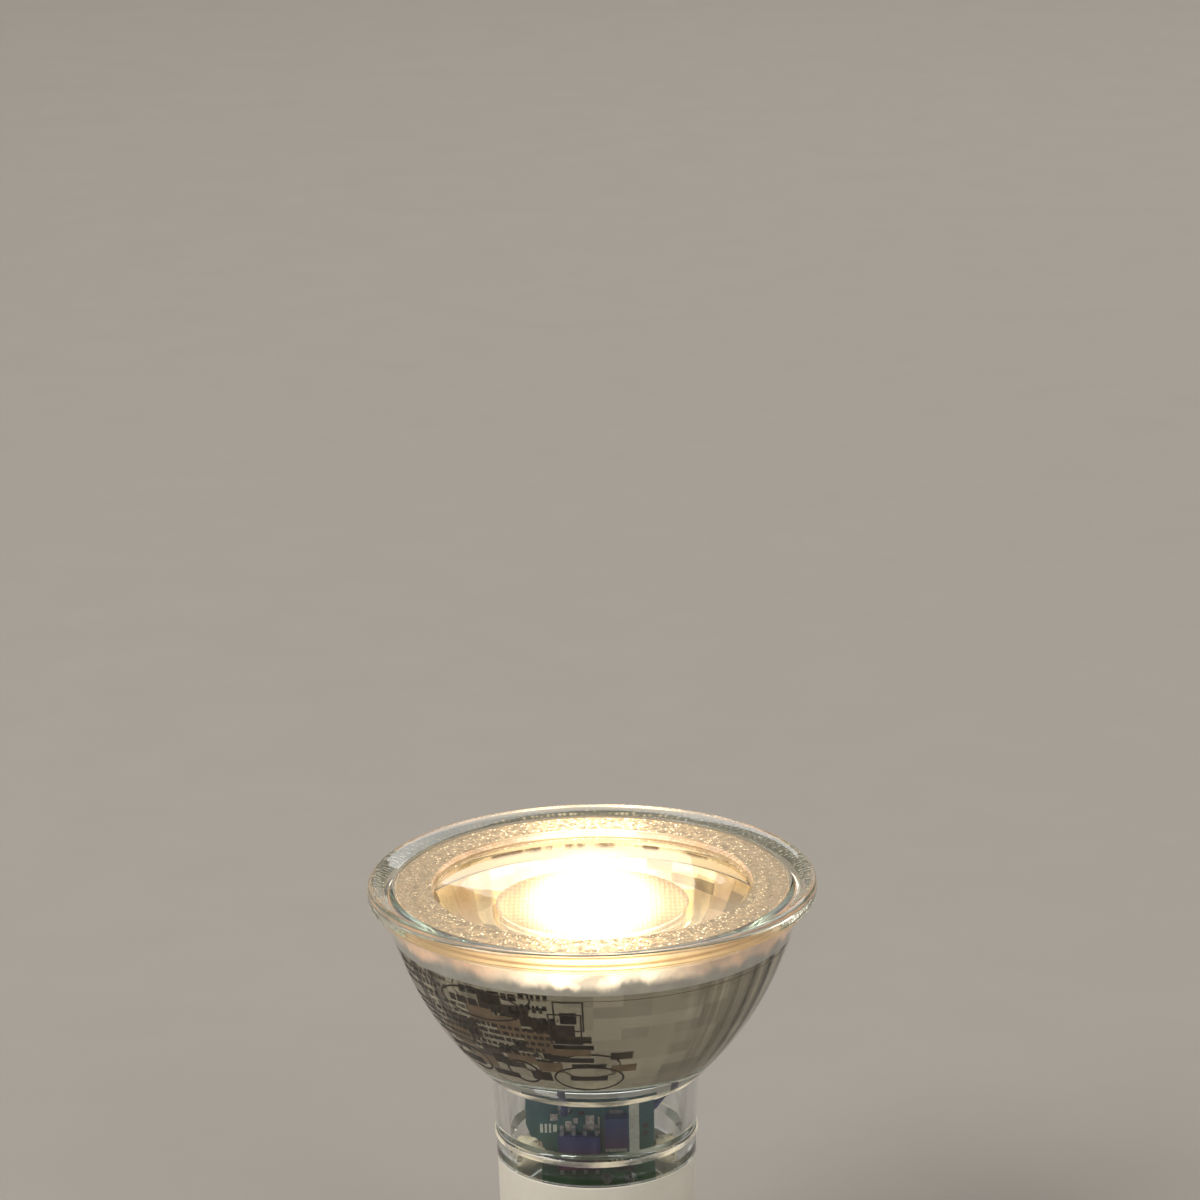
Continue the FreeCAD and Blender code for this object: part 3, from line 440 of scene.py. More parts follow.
def make_frost():
    """The unsilvered band under the lens: dull, with a painted glow leaking down from the sealant in a ragged
    edge.
    """
    material, tree, shader = new_material("band_frost")
    skin = noise(tree, 500.0, 4.0)
    tint = ramp(tree, skin, [(0.3, (0.30, 0.285, 0.26, 1)), (0.7, (0.40, 0.385, 0.36, 1))])
    gloss = scaled(tree, skin, (0.35, 0.7), (0.3, 0.7))
    ragged = scaled(tree, noise(tree, 420.0, 4.0, stretch=(1.0, 1.0, 0.4)), (-0.6, 0.6), (0.3, 0.7))
    edge = math_node(tree, "ADD", height_of(tree), ragged)
    leak = scaled(tree, edge, (0.0, 1.0), (PANE_TOP + 0.6, PANE_TOP + 1.9), smooth=True)
    uneven = scaled(tree, noise(tree, 260.0, 3.0), (0.35, 1.2), (0.35, 0.65))
    light = product(tree, leak, front_and_back(tree, 0.42, 0.8, 1.2), uneven)
    hue = two_tone(tree, front_and_back(tree, 0.0, 1.0), (1.0, 0.49, 0.22, 1), (1.0, 0.80, 0.54, 1))
    set_inputs(tree, shader, Base_Color=tint, Roughness=gloss, IOR=1.45, Transmission_Weight=0.12,
               Emission_Color=hue, Emission_Strength=light)
    bump(tree, shader, skin, 0.6, 0.2)
    return material


def make_rim_foot():
    """The rim's rough underside, with a painted glow gathered in rows of small beads."""
    material, tree, shader = new_material("rim_foot")
    beads = dots_of(tree, 1500.0, 0.5)
    shine = scaled(tree, beads, (0.9, 0.1), (0.1, 0.45))
    rings = scaled(tree, fine_rings(tree), (0.3, 1.4), (-1.0, 1.0))
    light = product(tree, shine, rings, front_and_back(tree, 0.12, 0.7))
    hue = two_tone(tree, front_and_back(tree, 0.0, 1.0), (1.0, 0.60, 0.32, 1), (1.0, 0.80, 0.50, 1))
    set_inputs(tree, shader, Base_Color=(0.9, 0.85, 0.76, 1), Roughness=0.25, IOR=1.5,
               Transmission_Weight=0.9, Emission_Color=hue, Emission_Strength=light)
    bump(tree, shader, beads, 0.7, 0.2)
    return material


def make_band_lining():
    """The band's inner side, smooth gold with darker upright dashes along its top and a painted glow between
    them.
    """
    material, tree, shader = new_material("band_lining")
    dashes = scaled(tree, noise(tree, 520.0, 2.0, stretch=(1.0, 1.0, 0.12)), (1.0, 0.0), (0.42, 0.56))
    high = scaled(tree, height_of(tree), (0.0, 1.0), (PANE_TOP + 0.8, PANE_TOP + 1.6), smooth=True)
    dark = product(tree, dashes, high)
    tint = ramp(tree, dark, [(0.1, (0.66, 0.51, 0.30, 1)), (0.8, (0.14, 0.09, 0.05, 1))])
    light = product(tree, scaled(tree, dark, (0.7, 0.04), (0.0, 0.8)), front_and_back(tree, 0.5, 1.1))
    set_inputs(tree, shader, Base_Color=tint, Roughness=0.4, Emission_Color=(1.0, 0.80, 0.48, 1),
               Emission_Strength=light)
    bump(tree, shader, dashes, 0.5, 0.1)
    return material


def make_lip_glass():
    """The neck's rib and lip: pressed glass with patches of painted glow for a little of the warm light."""
    material, tree, shader = new_material("lip_glass")
    patches = noise(tree, 240.0, 3.0, stretch=(1.0, 1.0, 2.5))
    light = scaled(tree, patches, (0.02, 0.5), (0.38, 0.66))
    set_inputs(tree, shader, Base_Color=(0.95, 0.91, 0.82, 1), Roughness=0.12, IOR=1.5,
               Transmission_Weight=0.85, Emission_Color=(1.0, 0.84, 0.58, 1), Emission_Strength=light)
    bump(tree, shader, patches, 0.5, 0.1)
    lamps_through(tree, shader, (0.95, 0.91, 0.82, 1))
    return material


band_frost = make_frost()
rim_foot = make_rim_foot()
band_lining = make_band_lining()
lip_glass = make_lip_glass()


LENS_TINT = (0.99, 0.985, 0.96, 1)
# Tints of the light that goes through the lens's glowing parts
WARM_PASS = (0.99, 0.95, 0.86, 1)
PALE_PASS = (1, 0.97, 0.9, 1)
# Depth share of the glare over the source, which the photo shows drawn out to the front and back
GLARE_DEPTH = 0.35


def make_lens_material(name, roughness=0.0, passing=LENS_TINT):
    """Clear moulded plastic; passing tints the light that goes through to other pieces."""
    material, tree, shader = new_material(name)
    set_inputs(tree, shader, Base_Color=LENS_TINT, Roughness=roughness, IOR=1.49, Transmission_Weight=1.0)
    lamps_through(tree, shader, passing)
    return material, tree, shader


def make_lens_clear():
    material, tree, shader = make_lens_material("lens_clear")
    bump(tree, shader, noise(tree, 200.0, 2.0), 0.5, 0.02)
    return material


def make_lens_stipple():
    """The flange's finely pitted ring, with painted glints of light in gold and cream grains."""
    material, tree, shader = make_lens_material("lens_stipple", 0.3, WARM_PASS)
    grains = dots_of(tree, 2300.0, 1.0)
    bump(tree, shader, grains, 0.9, 0.25)
    hue = ramp(tree, grains, [(0.05, (1.0, 0.88, 0.62, 1)), (0.45, (1.0, 0.66, 0.32, 1))])
    sparkle = scaled(tree, grains, (3.4, 0.21), (0.08, 0.28), smooth=True)
    patches = scaled(tree, noise(tree, 1300.0, 4.0), (0.15, 1.3), (0.38, 0.62))
    light = product(tree, sparkle, patches, front_and_back(tree, 0.26, 1.8, 3.8, 23.0))
    set_inputs(tree, shader, Base_Color=(0.42, 0.33, 0.21, 1), Transmission_Weight=0.35,
               Emission_Color=hue, Emission_Strength=light)
    return material


def make_lens_edge():
    """The flange's outer wall, with a painted gold shine where it faces the front and back."""
    material, tree, shader = make_lens_material("lens_edge", 0.15, WARM_PASS)
    lines = wave(tree, height_of(tree), 15.0)
    tone = scaled(tree, lines, (0.0, 1.0), (-1.0, 1.0))
    hue = two_tone(tree, tone, (1.0, 0.56, 0.24, 1), (1.0, 0.80, 0.52, 1))
    shine = scaled(tree, lines, (0.18, 1.2), (-1.0, 1.0))
    light = product(tree, shine, front_and_back(tree, 0.12, 0.85, 1.4))
    set_inputs(tree, shader, Base_Color=(0.55, 0.40, 0.24, 1), Transmission_Weight=0.3,
               Emission_Color=hue, Emission_Strength=light)
    return material


def make_lens_window():
    """The clear ring between the disc and the flange, with a painted spill of light over its inner part."""
    material, tree, shader = make_lens_material("lens_window", 0.02)
    bump(tree, shader, noise(tree, 240.0, 2.0), 0.5, 0.02)
    spill = scaled(tree, radius_of(tree, GLARE_DEPTH), (1.8, 0.0), (5.8, 9.8), smooth=True)
    set_inputs(tree, shader, Emission_Color=(1.0, 0.86, 0.6, 1), Emission_Strength=spill)
    return material


def make_lens_disc():
    """The centre disc over the light source, with a painted glow: burnt out in the middle, rows of gold dots
    at its edge.
    """
    material, tree, shader = make_lens_material("lens_disc", 0.2, PALE_PASS)
    dots = dots_of(tree, 1900.0, 0.1, (1.0, 0.45, 1.0))
    bump(tree, shader, dots, 0.8, 0.2)
    core = scaled(tree, radius_of(tree, GLARE_DEPTH), (3.6, 0.24), (4.8, 9.0), smooth=True)
    light = product(tree, core, scaled(tree, dots, (1.5, 0.62), (0.15, 0.5)))
    set_inputs(tree, shader, Base_Color=(0.62, 0.45, 0.25, 1), Transmission_Weight=0.3,
               Emission_Color=(1.0, 0.73, 0.43, 1), Emission_Strength=light)
    return material


def make_lens_collimator():
    """The collimator's wall, which hands the light up, with a painted glow along it."""
    material, tree, shader = make_lens_material("lens_collimator", 0.05, PALE_PASS)
    wall = (MOUTH_HEIGHT + 1.2, COLLIMATOR_TOP - 1.2)
    light = scaled(tree, height_of(tree), (0.3, 0.02), wall, smooth=True)
    set_inputs(tree, shader, Emission_Color=(1.0, 0.78, 0.45, 1), Emission_Strength=light)
    return material


lens_clear = make_lens_clear()
lens_stipple = make_lens_stipple()
lens_edge = make_lens_edge()
lens_window = make_lens_window()
lens_disc = make_lens_disc()
lens_collimator = make_lens_collimator()


# Turned shapes


def arc_points(start, end, radius, side, steps):
    """Points after start, along an arc to end; side 1 keeps its centre on the left of that run."""
    first, last = Vector(start), Vector(end)
    chord = last - first
    rise = math.sqrt(max(radius ** 2 - (chord.length / 2) ** 2, 0.0))
    left = Vector((-chord.y, chord.x)).normalized()
    centre = (first + last) / 2 + left * (side * rise)
    begin = math.atan2(first.y - centre.y, first.x - centre.x)
    finish = math.atan2(last.y - centre.y, last.x - centre.x)
    turn = finish - begin
    if side > 0 and turn < 0:
        turn += 2 * math.pi
    if side < 0 and turn > 0:
        turn -= 2 * math.pi
    return [(centre.x + radius * math.cos(begin + turn * step / steps),
             centre.y + radius * math.sin(begin + turn * step / steps)) for step in range(1, steps + 1)]


ROUND_STEPS = 5


def rounded(before, corner, after, radius):
    """The points of a rounded corner."""
    here = Vector(corner)
    back = (Vector(before) - here).normalized()
    ahead = (Vector(after) - here).normalized()
    half = back.angle(ahead) / 2
    trim = radius / math.tan(half)
    start, end = here + back * trim, here + ahead * trim
    side = 1 if (here - Vector(before)).cross(Vector(after) - here) > 0 else -1
    return [tuple(start)] + arc_points(start, end, radius, side, ROUND_STEPS)


def outline(corners):
    """Profile points. A corner is (r, z), (r, z, "round", radius) or (r, z, "arc", radius, side, steps)."""
    points = []
    count = len(corners)
    for here, corner in enumerate(corners):
        place = corner[:2]
        if len(corner) > 2 and corner[2] == "round":
            before, after = corners[here - 1][:2], corners[(here + 1) % count][:2]
            points += rounded(before, place, after, corner[3])
            continue
        points.append(place)
        if len(corner) > 2:
            after = corners[(here + 1) % count][:2]
            points += arc_points(place, after, corner[3], corner[4], corner[5])[:-1]
    return points


# Steps of a turned mesh, six to each column of panes
SEGMENTS = 6 * PANE_COLUMNS


def pane_radius(circumradius, angle):
    """Radius of a regular polygon's side at an angle."""
    pane = 2 * math.pi / PANE_COLUMNS
    offset = angle % pane - pane / 2
    return circumradius * math.cos(pane / 2) / math.cos(offset)


def lathe(name, rings, materials, pick, closed=True):
    """A turned mesh. A ring is (r, z, many_sided); pick(r, z, ring, step) gives a face's material and
    whether it is smooth."""
    vertices = []
    for radius, height, many_sided in rings:
        for step in range(SEGMENTS):
            angle = 2 * math.pi * step / SEGMENTS
            reach = pane_radius(radius, angle) if many_sided else radius
            vertices.append((reach * math.cos(angle) * MM, reach * math.sin(angle) * MM, height * MM))
    faces, numbers, smooth = [], [], []
    count = len(rings)
    for ring in range(count if closed else count - 1):
        following = (ring + 1) % count
        low, high = rings[ring], rings[following]
        middle = ((low[0] + high[0]) / 2, (low[1] + high[1]) / 2)
        for step in range(SEGMENTS):
            finish, soft = pick(*middle, ring, step)
            other = (step + 1) % SEGMENTS
            faces.append([ring * SEGMENTS + step, following * SEGMENTS + step,
                          following * SEGMENTS + other, ring * SEGMENTS + other])
            numbers.append(materials.index(finish))
            smooth.append(soft)
    mesh = bpy.data.meshes.new(name)
    mesh.from_pydata(vertices, [], faces)
    for material in materials:
        mesh.materials.append(material)
    mesh.polygons.foreach_set("material_index", numbers)
    mesh.polygons.foreach_set("use_smooth", smooth)
    mesh.update()
    return mesh


SHARP_ANGLE = math.radians(24)


def finish_mesh(mesh, name):
    mesh.validate()
    mesh.update()
    mesh.set_sharp_from_angle(angle=SHARP_ANGLE)
    piece = bpy.data.objects.new(name, mesh)
    bpy.context.collection.objects.link(piece)
    return piece


# Glass envelope

# The drawn rim stands this much inside the solid's box
BOX_CLEARANCE = 0.01
EDGE_RADIUS = RIM_RADIUS - BOX_CLEARANCE
# The plain band between the panes and the lens, and the film's face inside the panes and the band
BAND_RADIUS = 20.908
FILM_GAP = 0.03
FILM_BAND_RADIUS = 20.87
FILM_TOP = 43.2
# Slack when the middle of a face is compared with a named height or radius
NEAR = 0.1
TONES = random.Random(7).choices((0, 1, 2), weights=(5, 3, 2), k=PANE_COLUMNS * PANE_ROWS)


def bowl_radius(height, inset=0.0):
    return math.sqrt((ARC_RADIUS - inset) ** 2 - (ARC_CENTRE_Z - height) ** 2) - ARC_INSET


def pane_rings(inset):
    rings = []
    for row in range(PANE_ROWS + 1):
        height = LED_SEAT + PANES_HEIGHT * row / PANE_ROWS
        rings.append((bowl_radius(height, inset), height, True))
    return rings


def pane_tone(row, step):
    """The tone of the pane in a row: most are alike, some lighter or darker."""
    return TONES[row * PANE_COLUMNS + step * PANE_COLUMNS // SEGMENTS]


def make_glass():
    profile = outline([
        (BAND_RADIUS, LENS_SEAT),
        (SEAT_RADIUS, LENS_SEAT),
        (SEAT_RADIUS, RIM_TOP - RIM_FALL, "round", RIM_INNER_ROUND),
        (RIM_RADIUS - RIM_LAND, RIM_TOP),
        (EDGE_RADIUS, RIM_TOP, "round", RIM_ROUND),
        (EDGE_RADIUS, RIM_EDGE_FOOT, "round", RIM_ROUND),
        (RIM_FOOT_RADIUS, RIM_FOOT),
        (SKIRT_RADIUS, SKIRT_FOOT, "arc", ARC_RADIUS, -1, 16),
        (LIP_RADIUS, BOWL_FOOT),
        (LIP_RADIUS - LIP_CHAMFER, BOWL_FOOT - LIP_CHAMFER),
        (NECK_TOP_RADIUS, NECK_TOP, "round", NECK_ROUND),
        (NECK_RADIUS, RIB_TOP, "arc", RIB_ROUND, -1, 8),
        (NECK_RADIUS, RIB_FOOT),
        (NECK_RADIUS, BASE_HEIGHT),
        (SPIGOT_RADIUS, BASE_HEIGHT),
        (SPIGOT_RADIUS, SPIGOT_END, "round", SPIGOT_ROUND),
        (SPIGOT_RADIUS - SPIGOT_WALL, SPIGOT_END, "round", SPIGOT_ROUND),
        (NECK_RADIUS - FOOT_WALL, RIB_MIDDLE),
        (NECK_RADIUS - NECK_WALL, RIB_MIDDLE + FOOT_SLOPE),
        (BORE_TOP_RADIUS, LED_SEAT - BORE_FLARE, "arc", BORE_FLARE, -1, 6),
        (BORE_TOP_RADIUS + BORE_FLARE, LED_SEAT),
    ])
    rings = [(radius, height, False) for radius, height in profile]
    first_pane = len(rings)
    rings += pane_rings(BOWL_WALL)
    last_pane = len(rings) - 1
    rings.append((BAND_RADIUS, PANE_TOP, False))

    def pick(radius, height, ring, step):
        if first_pane <= ring < last_pane:
            return coat_tones[pane_tone(ring - first_pane, step)], False
        if ring >= last_pane:
            return band_frost, True
        under_rim = RIM_FOOT - NEAR < height < RIM_EDGE_FOOT - NEAR / 2
        if under_rim and RIM_FOOT_RADIUS - NEAR < radius < RIM_RADIUS - 2 * NEAR:
            return rim_foot, True
        rib = radius > NECK_RADIUS - NEAR and RIB_FOOT + NEAR < height < RIB_TOP - NEAR
        lip = radius > NECK_TOP_RADIUS and NECK_TOP - NEAR < height < BOWL_FOOT - NEAR
        return (lip_glass, True) if rib or lip else (glass_clear, True)

    materials = [glass_clear] + coat_tones + [band_frost, rim_foot, lip_glass]
    return finish_mesh(lathe("glass", rings, materials, pick), "glass")


def make_lining():
    """The film's face on the hollow side, a hair's breadth inside the panes, and the band above them."""
    rings = pane_rings(BOWL_WALL + FILM_GAP)
    rings += [(FILM_BAND_RADIUS, PANE_TOP, False), (FILM_BAND_RADIUS, FILM_TOP, False)]

    def pick(radius, height, ring, step):
        return (lining_tones[pane_tone(ring, step)], False) if ring < PANE_ROWS else (band_lining, True)

    mesh = lathe("bowl_lining", rings, lining_tones + [band_lining], pick, closed=False)
    return finish_mesh(mesh, "bowl_lining")


# Front lens

# Radii of the rings inside the disc; the first leaves a pinhole on the axis
AXIS_GAP, DISC_RINGS = 0.05, (5.0, 8.0)


def make_lens():
    dome = (WELL_TOP_RADIUS ** 2 + WELL_CROWN ** 2) / (2 * WELL_CROWN)
    profile = outline([
        (DISC_RADIUS, DISC_TOP, "arc", WINDOW_ARC, 1, 10),
        (STEP_RADIUS, STEP_FOOT),
        (WINDOW_RADIUS, FLANGE_TOP),
        (LENS_RADIUS, FLANGE_TOP, "round", FLANGE_ROUND),
        (LENS_RADIUS, FLANGE_FOOT),
        (WINDOW_RADIUS + WINDOW_THICKNESS, FLANGE_FOOT),
        (WINDOW_RADIUS, STEP_FOOT - WINDOW_THICKNESS),
        (COLLIMATOR_RADIUS, COLLIMATOR_TOP, "arc", COLLIMATOR_ARC, -1, 20),
        (MOUTH_RADIUS, MOUTH_HEIGHT),
        (WELL_RADIUS, MOUTH_HEIGHT),
        (WELL_TOP_RADIUS, WELL_TOP, "arc", dome, -1, 10),
        (AXIS_GAP, WELL_TOP - WELL_CROWN),
    ])
    rings = [(radius, DISC_TOP, False) for radius in (AXIS_GAP, *DISC_RINGS)]
    rings += [(radius, height, False) for radius, height in profile]

    def pick(radius, height, ring, step):
        if height > DISC_TOP - NEAR and radius < COLLIMATOR_RADIUS:
            return lens_disc, True
        if height > DISC_TOP - NEAR and radius < STEP_RADIUS + NEAR / 2:
            return lens_window, True
        if height > FLANGE_TOP - NEAR and WINDOW_RADIUS < radius < LENS_RADIUS - NEAR:
            return lens_stipple, True
        if height < FLANGE_TOP - NEAR and radius > LENS_RADIUS - NEAR:
            return lens_edge, True
        if height < COLLIMATOR_TOP + NEAR and MOUTH_RADIUS < radius < COLLIMATOR_RADIUS:
            return lens_collimator, True
        return lens_clear, True

    materials = [lens_clear, lens_stipple, lens_disc, lens_collimator, lens_window, lens_edge]
    return finish_mesh(lathe("lens", rings, materials, pick), "lens")


glass = make_glass()
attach(glass, "root")
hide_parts("glass_envelope")

lining = make_lining()
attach(lining, "root")

lens = make_lens()
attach(lens, "root")
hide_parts("front_lens")


# Print on the bowl: plain bars and rings, and painted reflections of the print behind them

# How far the marks, and the painted reflections of the print behind them, stand off the glass
INK_LIFT, SHADE_LIFT = 0.015, 0.012
# A patch's faces are about this many degrees wide and millimetres high
PATCH_TURN, PATCH_RISE = 1.5, 0.6
RING_STEPS = 48
# About how far round the bowl a millimetre goes
DEGREES_PER_MM = 3.0


def print_point(azimuth, height, lift):
    """A point just off the bowl's face; azimuth in degrees to the right of the front."""
    turn = math.radians(azimuth)
    reach = bowl_radius(height) + lift
    return (reach * math.sin(turn) * MM, -reach * math.cos(turn) * MM, height * MM)


def print_patch(points, faces, left, right, low, high, lift=INK_LIFT):
    """A bar that follows the bowl."""
    across = max(2, round(abs(right - left) / PATCH_TURN))
    upward = max(2, round((high - low) / PATCH_RISE))
    start = len(points)
    for row in range(upward + 1):
        height = low + (high - low) * row / upward
        for step in range(across + 1):
            points.append(print_point(left + (right - left) * step / across, height, lift))
    for row in range(upward):
        for step in range(across):
            corner = start + row * (across + 1) + step
            faces.append((corner, corner + 1, corner + across + 2, corner + across + 1))


def print_ring(points, faces, middle, height, half_width, half_height, line):
    """A plain oval line that follows the bowl."""
    start = len(points)
    for grow in (0.0, line):
        for step in range(RING_STEPS):
            turn = 2 * math.pi * step / RING_STEPS
            azimuth = middle + (half_width + grow * DEGREES_PER_MM) * math.cos(turn)
            points.append(print_point(azimuth, height + (half_height + grow) * math.sin(turn), INK_LIFT))
    for step in range(RING_STEPS):
        other = (step + 1) % RING_STEPS
        faces.append((start + step, start + other, start + RING_STEPS + other, start + RING_STEPS + step))


PRINT_ROWS = [
    # left end, right end, lower edge, height of a bar, shortest and longest bar in degrees
    (-72, -52, 40.2, 0.5, 0.9, 2.2),
    (-72, -52, 39.2, 0.5, 0.9, 2.2),
    (-72, -52, 38.2, 0.5, 0.9, 2.2),
    (-24, -14.5, 39.0, 0.75, 1.0, 1.7),
    (-24, -14.5, 37.7, 0.65, 1.0, 1.7),
    (-71, -12, 36.2, 0.5, 0.9, 2.4),
    (-70, -12, 35.3, 0.5, 0.9, 2.4),
    (-69, -14, 34.4, 0.5, 0.9, 2.2),
    (-67, -16, 33.5, 0.5, 0.9, 2.2),
    (-65, -18, 32.6, 0.5, 1.0, 2.6),
    (-46, -24, 38.6, 0.9, 2.0, 4.0),
]
PRINT_BARS = [
    # left end, right end, lower edge, upper edge
    (-62, -46, 29.3, 30.4), (-60, -50, 31.1, 31.9), (-42, -30, 28.6, 29.5), (-38, -31, 30.7, 31.9),
    (-24, -16, 29.0, 30.4), (-15, 0, 32.2, 32.9), (-9, 5, 29.3, 30.0),
    (-13.4, -3.4, 38.9, 39.1), (-13.4, -3.4, 34.9, 35.1), (-13.4, -12.9, 34.9, 39.1),
    (-3.9, -3.4, 34.9, 39.1), (-11.5, -5.5, 36.0, 37.6),
]
PRINT_REFLECTIONS_AND_EDGE = [
    # painted reflections of the print as brown blocks behind the marks, and the film's own edge line right
    # round
    (-40, -31, 36.6, 39.2), (-31, -22, 35.2, 38.0), (-22, -13, 33.4, 36.4), (-31, -20, 31.4, 33.0),
    (-20, -11, 30.5, 32.0), (-56, -44, 32.2, 34.8), (-14, -1, 33.2, 34.2), (6, 15, 30.6, 31.7),
    (-48, -38, 29.6, 31.4),
    (-180, 180, 40.78, 40.87),
]
PRINT_RINGS = [
    # azimuth and height of the middle, half width in degrees, half height, width of the line
    (-2.0, 29.6, 12.5, 1.75, 0.26), (-35.0, 39.0, 14.0, 1.8, 0.24), (-50.0, 30.2, 7.5, 1.5, 0.3),
    (-27.0, 30.0, 6.0, 1.5, 0.3),
]


def add_print(name, points, faces, material, slot):
    mesh = bpy.data.meshes.new(name)
    mesh.from_pydata(points, [], faces)
    mesh.update()
    mesh.materials.append(material)
    piece = bpy.data.objects.new(name, mesh)
    bpy.context.collection.objects.link(piece)
    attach(piece, "root")


def make_print():
    marks, reflections_and_edge = ([], []), ([], [])
    chance = random.Random(21)
    for left, right, low, tall, least, most in PRINT_ROWS:
        place = left
        while place < right:
            width = chance.uniform(least, most)
            print_patch(*marks, place, min(place + width, right), low, low + tall)
            place += width + chance.uniform(0.5, 0.9)
    for bar in PRINT_BARS:
        print_patch(*marks, *bar)
    for ring in PRINT_RINGS:
        print_ring(*marks, *ring)
    ink = surface("print_ink", (58, 50, 43), (40, 34, 30), 0.5, 900.0, 2600.0)
    add_print("print_marks", *marks, ink, "clear_glass")
    # painted reflections of the print in brown, and the film's own edge line
    for bar in PRINT_REFLECTIONS_AND_EDGE:
        print_patch(*reflections_and_edge, *bar, SHADE_LIFT)
    brown = surface("print_reflection_brown", (112, 96, 74), (92, 76, 58), 0.35, 700.0, 2600.0)
    add_print("print_reflections_and_edge", *reflections_and_edge, brown, "clear_glass")


make_print()


# Legend and pads on the driver board's component side

BOARD_FACE_Y = -3.4
LEGEND_LIFT, PAD_LIFT = 0.02, 0.03
VIA_RADIUS = 0.3
LEGEND = [
    # left, right, low, high; plain bars
    (3.6, 4.7, 15.3, 21.9), (0.2, 0.38, 14.3, 15.6), (0.2, 0.38, 15.9, 17.4), (0.2, 0.38, 17.7, 20.1),
    (-6.1, -5.8, 18.2, 19.3), (-5.6, -5.35, 18.2, 19.3), (-5.15, -4.9, 18.2, 19.3), (-4.7, -4.3, 18.3, 19.2),
    (1.6, 1.8, 14.2, 15.2), (2.1, 2.3, 14.2, 15.2), (1.6, 2.3, 15.2, 15.4), (2.6, 2.8, 14.2, 15.4),
]
PADS = [
    # left, right, low, high
    (-5.0, -4.2, 19.7, 20.5), (-3.35, -2.7, 18.4, 19.6), (-2.5, -2.0, 19.3, 20.0), (-1.15, -0.2, 18.45, 20.3),
    (1.0, 3.3, 15.75, 16.5),
]
VIAS = [(5.35, 18.9), (5.35, 18.0), (-6.6, 16.4), (-1.6, 20.6)]


def board_plate(points, faces, left, right, low, high, lift):
    start = len(points)
    y = (BOARD_FACE_Y - lift) * MM
    points += [(x * MM, y, z * MM) for x, z in ((left, low), (right, low), (right, high), (left, high))]
    faces.append((start, start + 1, start + 2, start + 3))


def board_spot(points, faces, x, z):
    """The round mouth of a plated hole: a dark disc of painted shade for the inside of the hole."""
    start, steps = len(points), 16
    y = (BOARD_FACE_Y - LEGEND_LIFT) * MM
    for step in range(steps):
        turn = 2 * math.pi * step / steps
        points.append(((x + VIA_RADIUS * math.cos(turn)) * MM, y, (z + VIA_RADIUS * math.sin(turn)) * MM))
    faces.append(tuple(range(start, start + steps)))


def make_board_print():
    legend, pads, vias = ([], []), ([], []), ([], [])
    for bar in LEGEND:
        board_plate(*legend, *bar, LEGEND_LIFT)
    for pad in PADS:
        board_plate(*pads, *pad, PAD_LIFT)
    for place in VIAS:
        board_spot(*vias, *place)
    white = surface("legend_white", (196, 196, 184), (170, 172, 160), 0.6, 2500.0)
    add_print("board_legend", *legend, white, "circuit_board")
    tin = surface("pad_tin", (196, 190, 186), (140, 134, 134), 0.3, 2600.0, 3000.0, 0.1, Metallic=0.6)
    add_print("board_pads", *pads, tin, "solder")
    # painted shade inside the plated holes
    dark = surface("via_dark", (62, 34, 48), (40, 24, 34), 0.4, 2600.0)
    add_print("board_vias", *vias, dark, "circuit_board")


make_board_print()


# Finishes of the other pieces


def dress(node, material):
    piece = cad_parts[node]
    for slot in piece.material_slots:
        slot.material = material
    if not piece.material_slots:
        piece.data.materials.append(material)


def make_adhesive():
    """Sealant with a painted glow in fine rings where the glass steps spread the light."""
    material, tree, shader = new_material("adhesive_glow")
    patches = noise(tree, 420.0, 4.0)
    hue = two_tone(tree, front_and_back(tree, 0.0, 1.0), (1.0, 0.52, 0.26, 1), (1.0, 0.80, 0.52, 1))
    rings = scaled(tree, fine_rings(tree), (0.25, 1.3), (-1.0, 1.0))
    uneven = scaled(tree, patches, (0.3, 1.0), (0.3, 0.7))
    light = product(tree, rings, uneven, front_and_back(tree, 0.3, 0.8, 0.8))
    set_inputs(tree, shader, Base_Color=(0.93, 0.88, 0.8, 1), Roughness=0.3, Transmission_Weight=0.4,
               Emission_Color=hue, Emission_Strength=light)
    bump(tree, shader, patches, 0.6, 0.3)
    return material


def make_phosphor():
    material, tree, shader = new_material("phosphor")
    grain = noise(tree, 2500.0)
    tint = ramp(tree, grain, [(0.3, (0.85, 0.6, 0.12, 1)), (0.7, (0.95, 0.74, 0.2, 1))])
    set_inputs(tree, shader, Base_Color=tint, Roughness=0.4, Emission_Color=(1.0, 0.84, 0.55, 1),
               Emission_Strength=5.0)
    bump(tree, shader, grain, 0.3, 0.05)
    return material


def make_board_green():
    """Green solder mask over copper, with a painted teal sheen towards the top for the light of the neck."""
    material, tree, shader = new_material("solder_mask")
    up = scaled(tree, height_of(tree), (0.0, 1.0), (12.0, 22.0))
    # green mask below, painted teal sheen towards the top
    mask = ramp(tree, up, [
        (0.0, linear((34, 84, 42))), (0.4, linear((26, 78, 62))), (1.0, linear((22, 84, 98)))])
    traces = add(tree, "ShaderNodeTexBrick", Scale=520.0, offset=0.37, squash=1.6)
    set_inputs(tree, traces, Mortar_Size=0.09, Mortar_Smooth=0.1, Color1=(1, 1, 1, 1),
               Color2=(0.8, 0.8, 0.8, 1), Mortar=(0.35, 0.35, 0.35, 1))
    turn = add(tree, "ShaderNodeMapping", Rotation=(math.pi / 2, 0, 0))
    tree.links.new(coordinates(tree), turn.inputs["Vector"])
    tree.links.new(turn.outputs["Vector"], traces.inputs["Vector"])
    tint = mixed(tree, 0.35, mask, traces.outputs["Color"], "MULTIPLY")
    set_inputs(tree, shader, Base_Color=tint, Roughness=0.32, Coat_Weight=0.4, Coat_Roughness=0.2)
    bump(tree, shader, traces.outputs["Fac"], 0.3, 0.04)
    return material


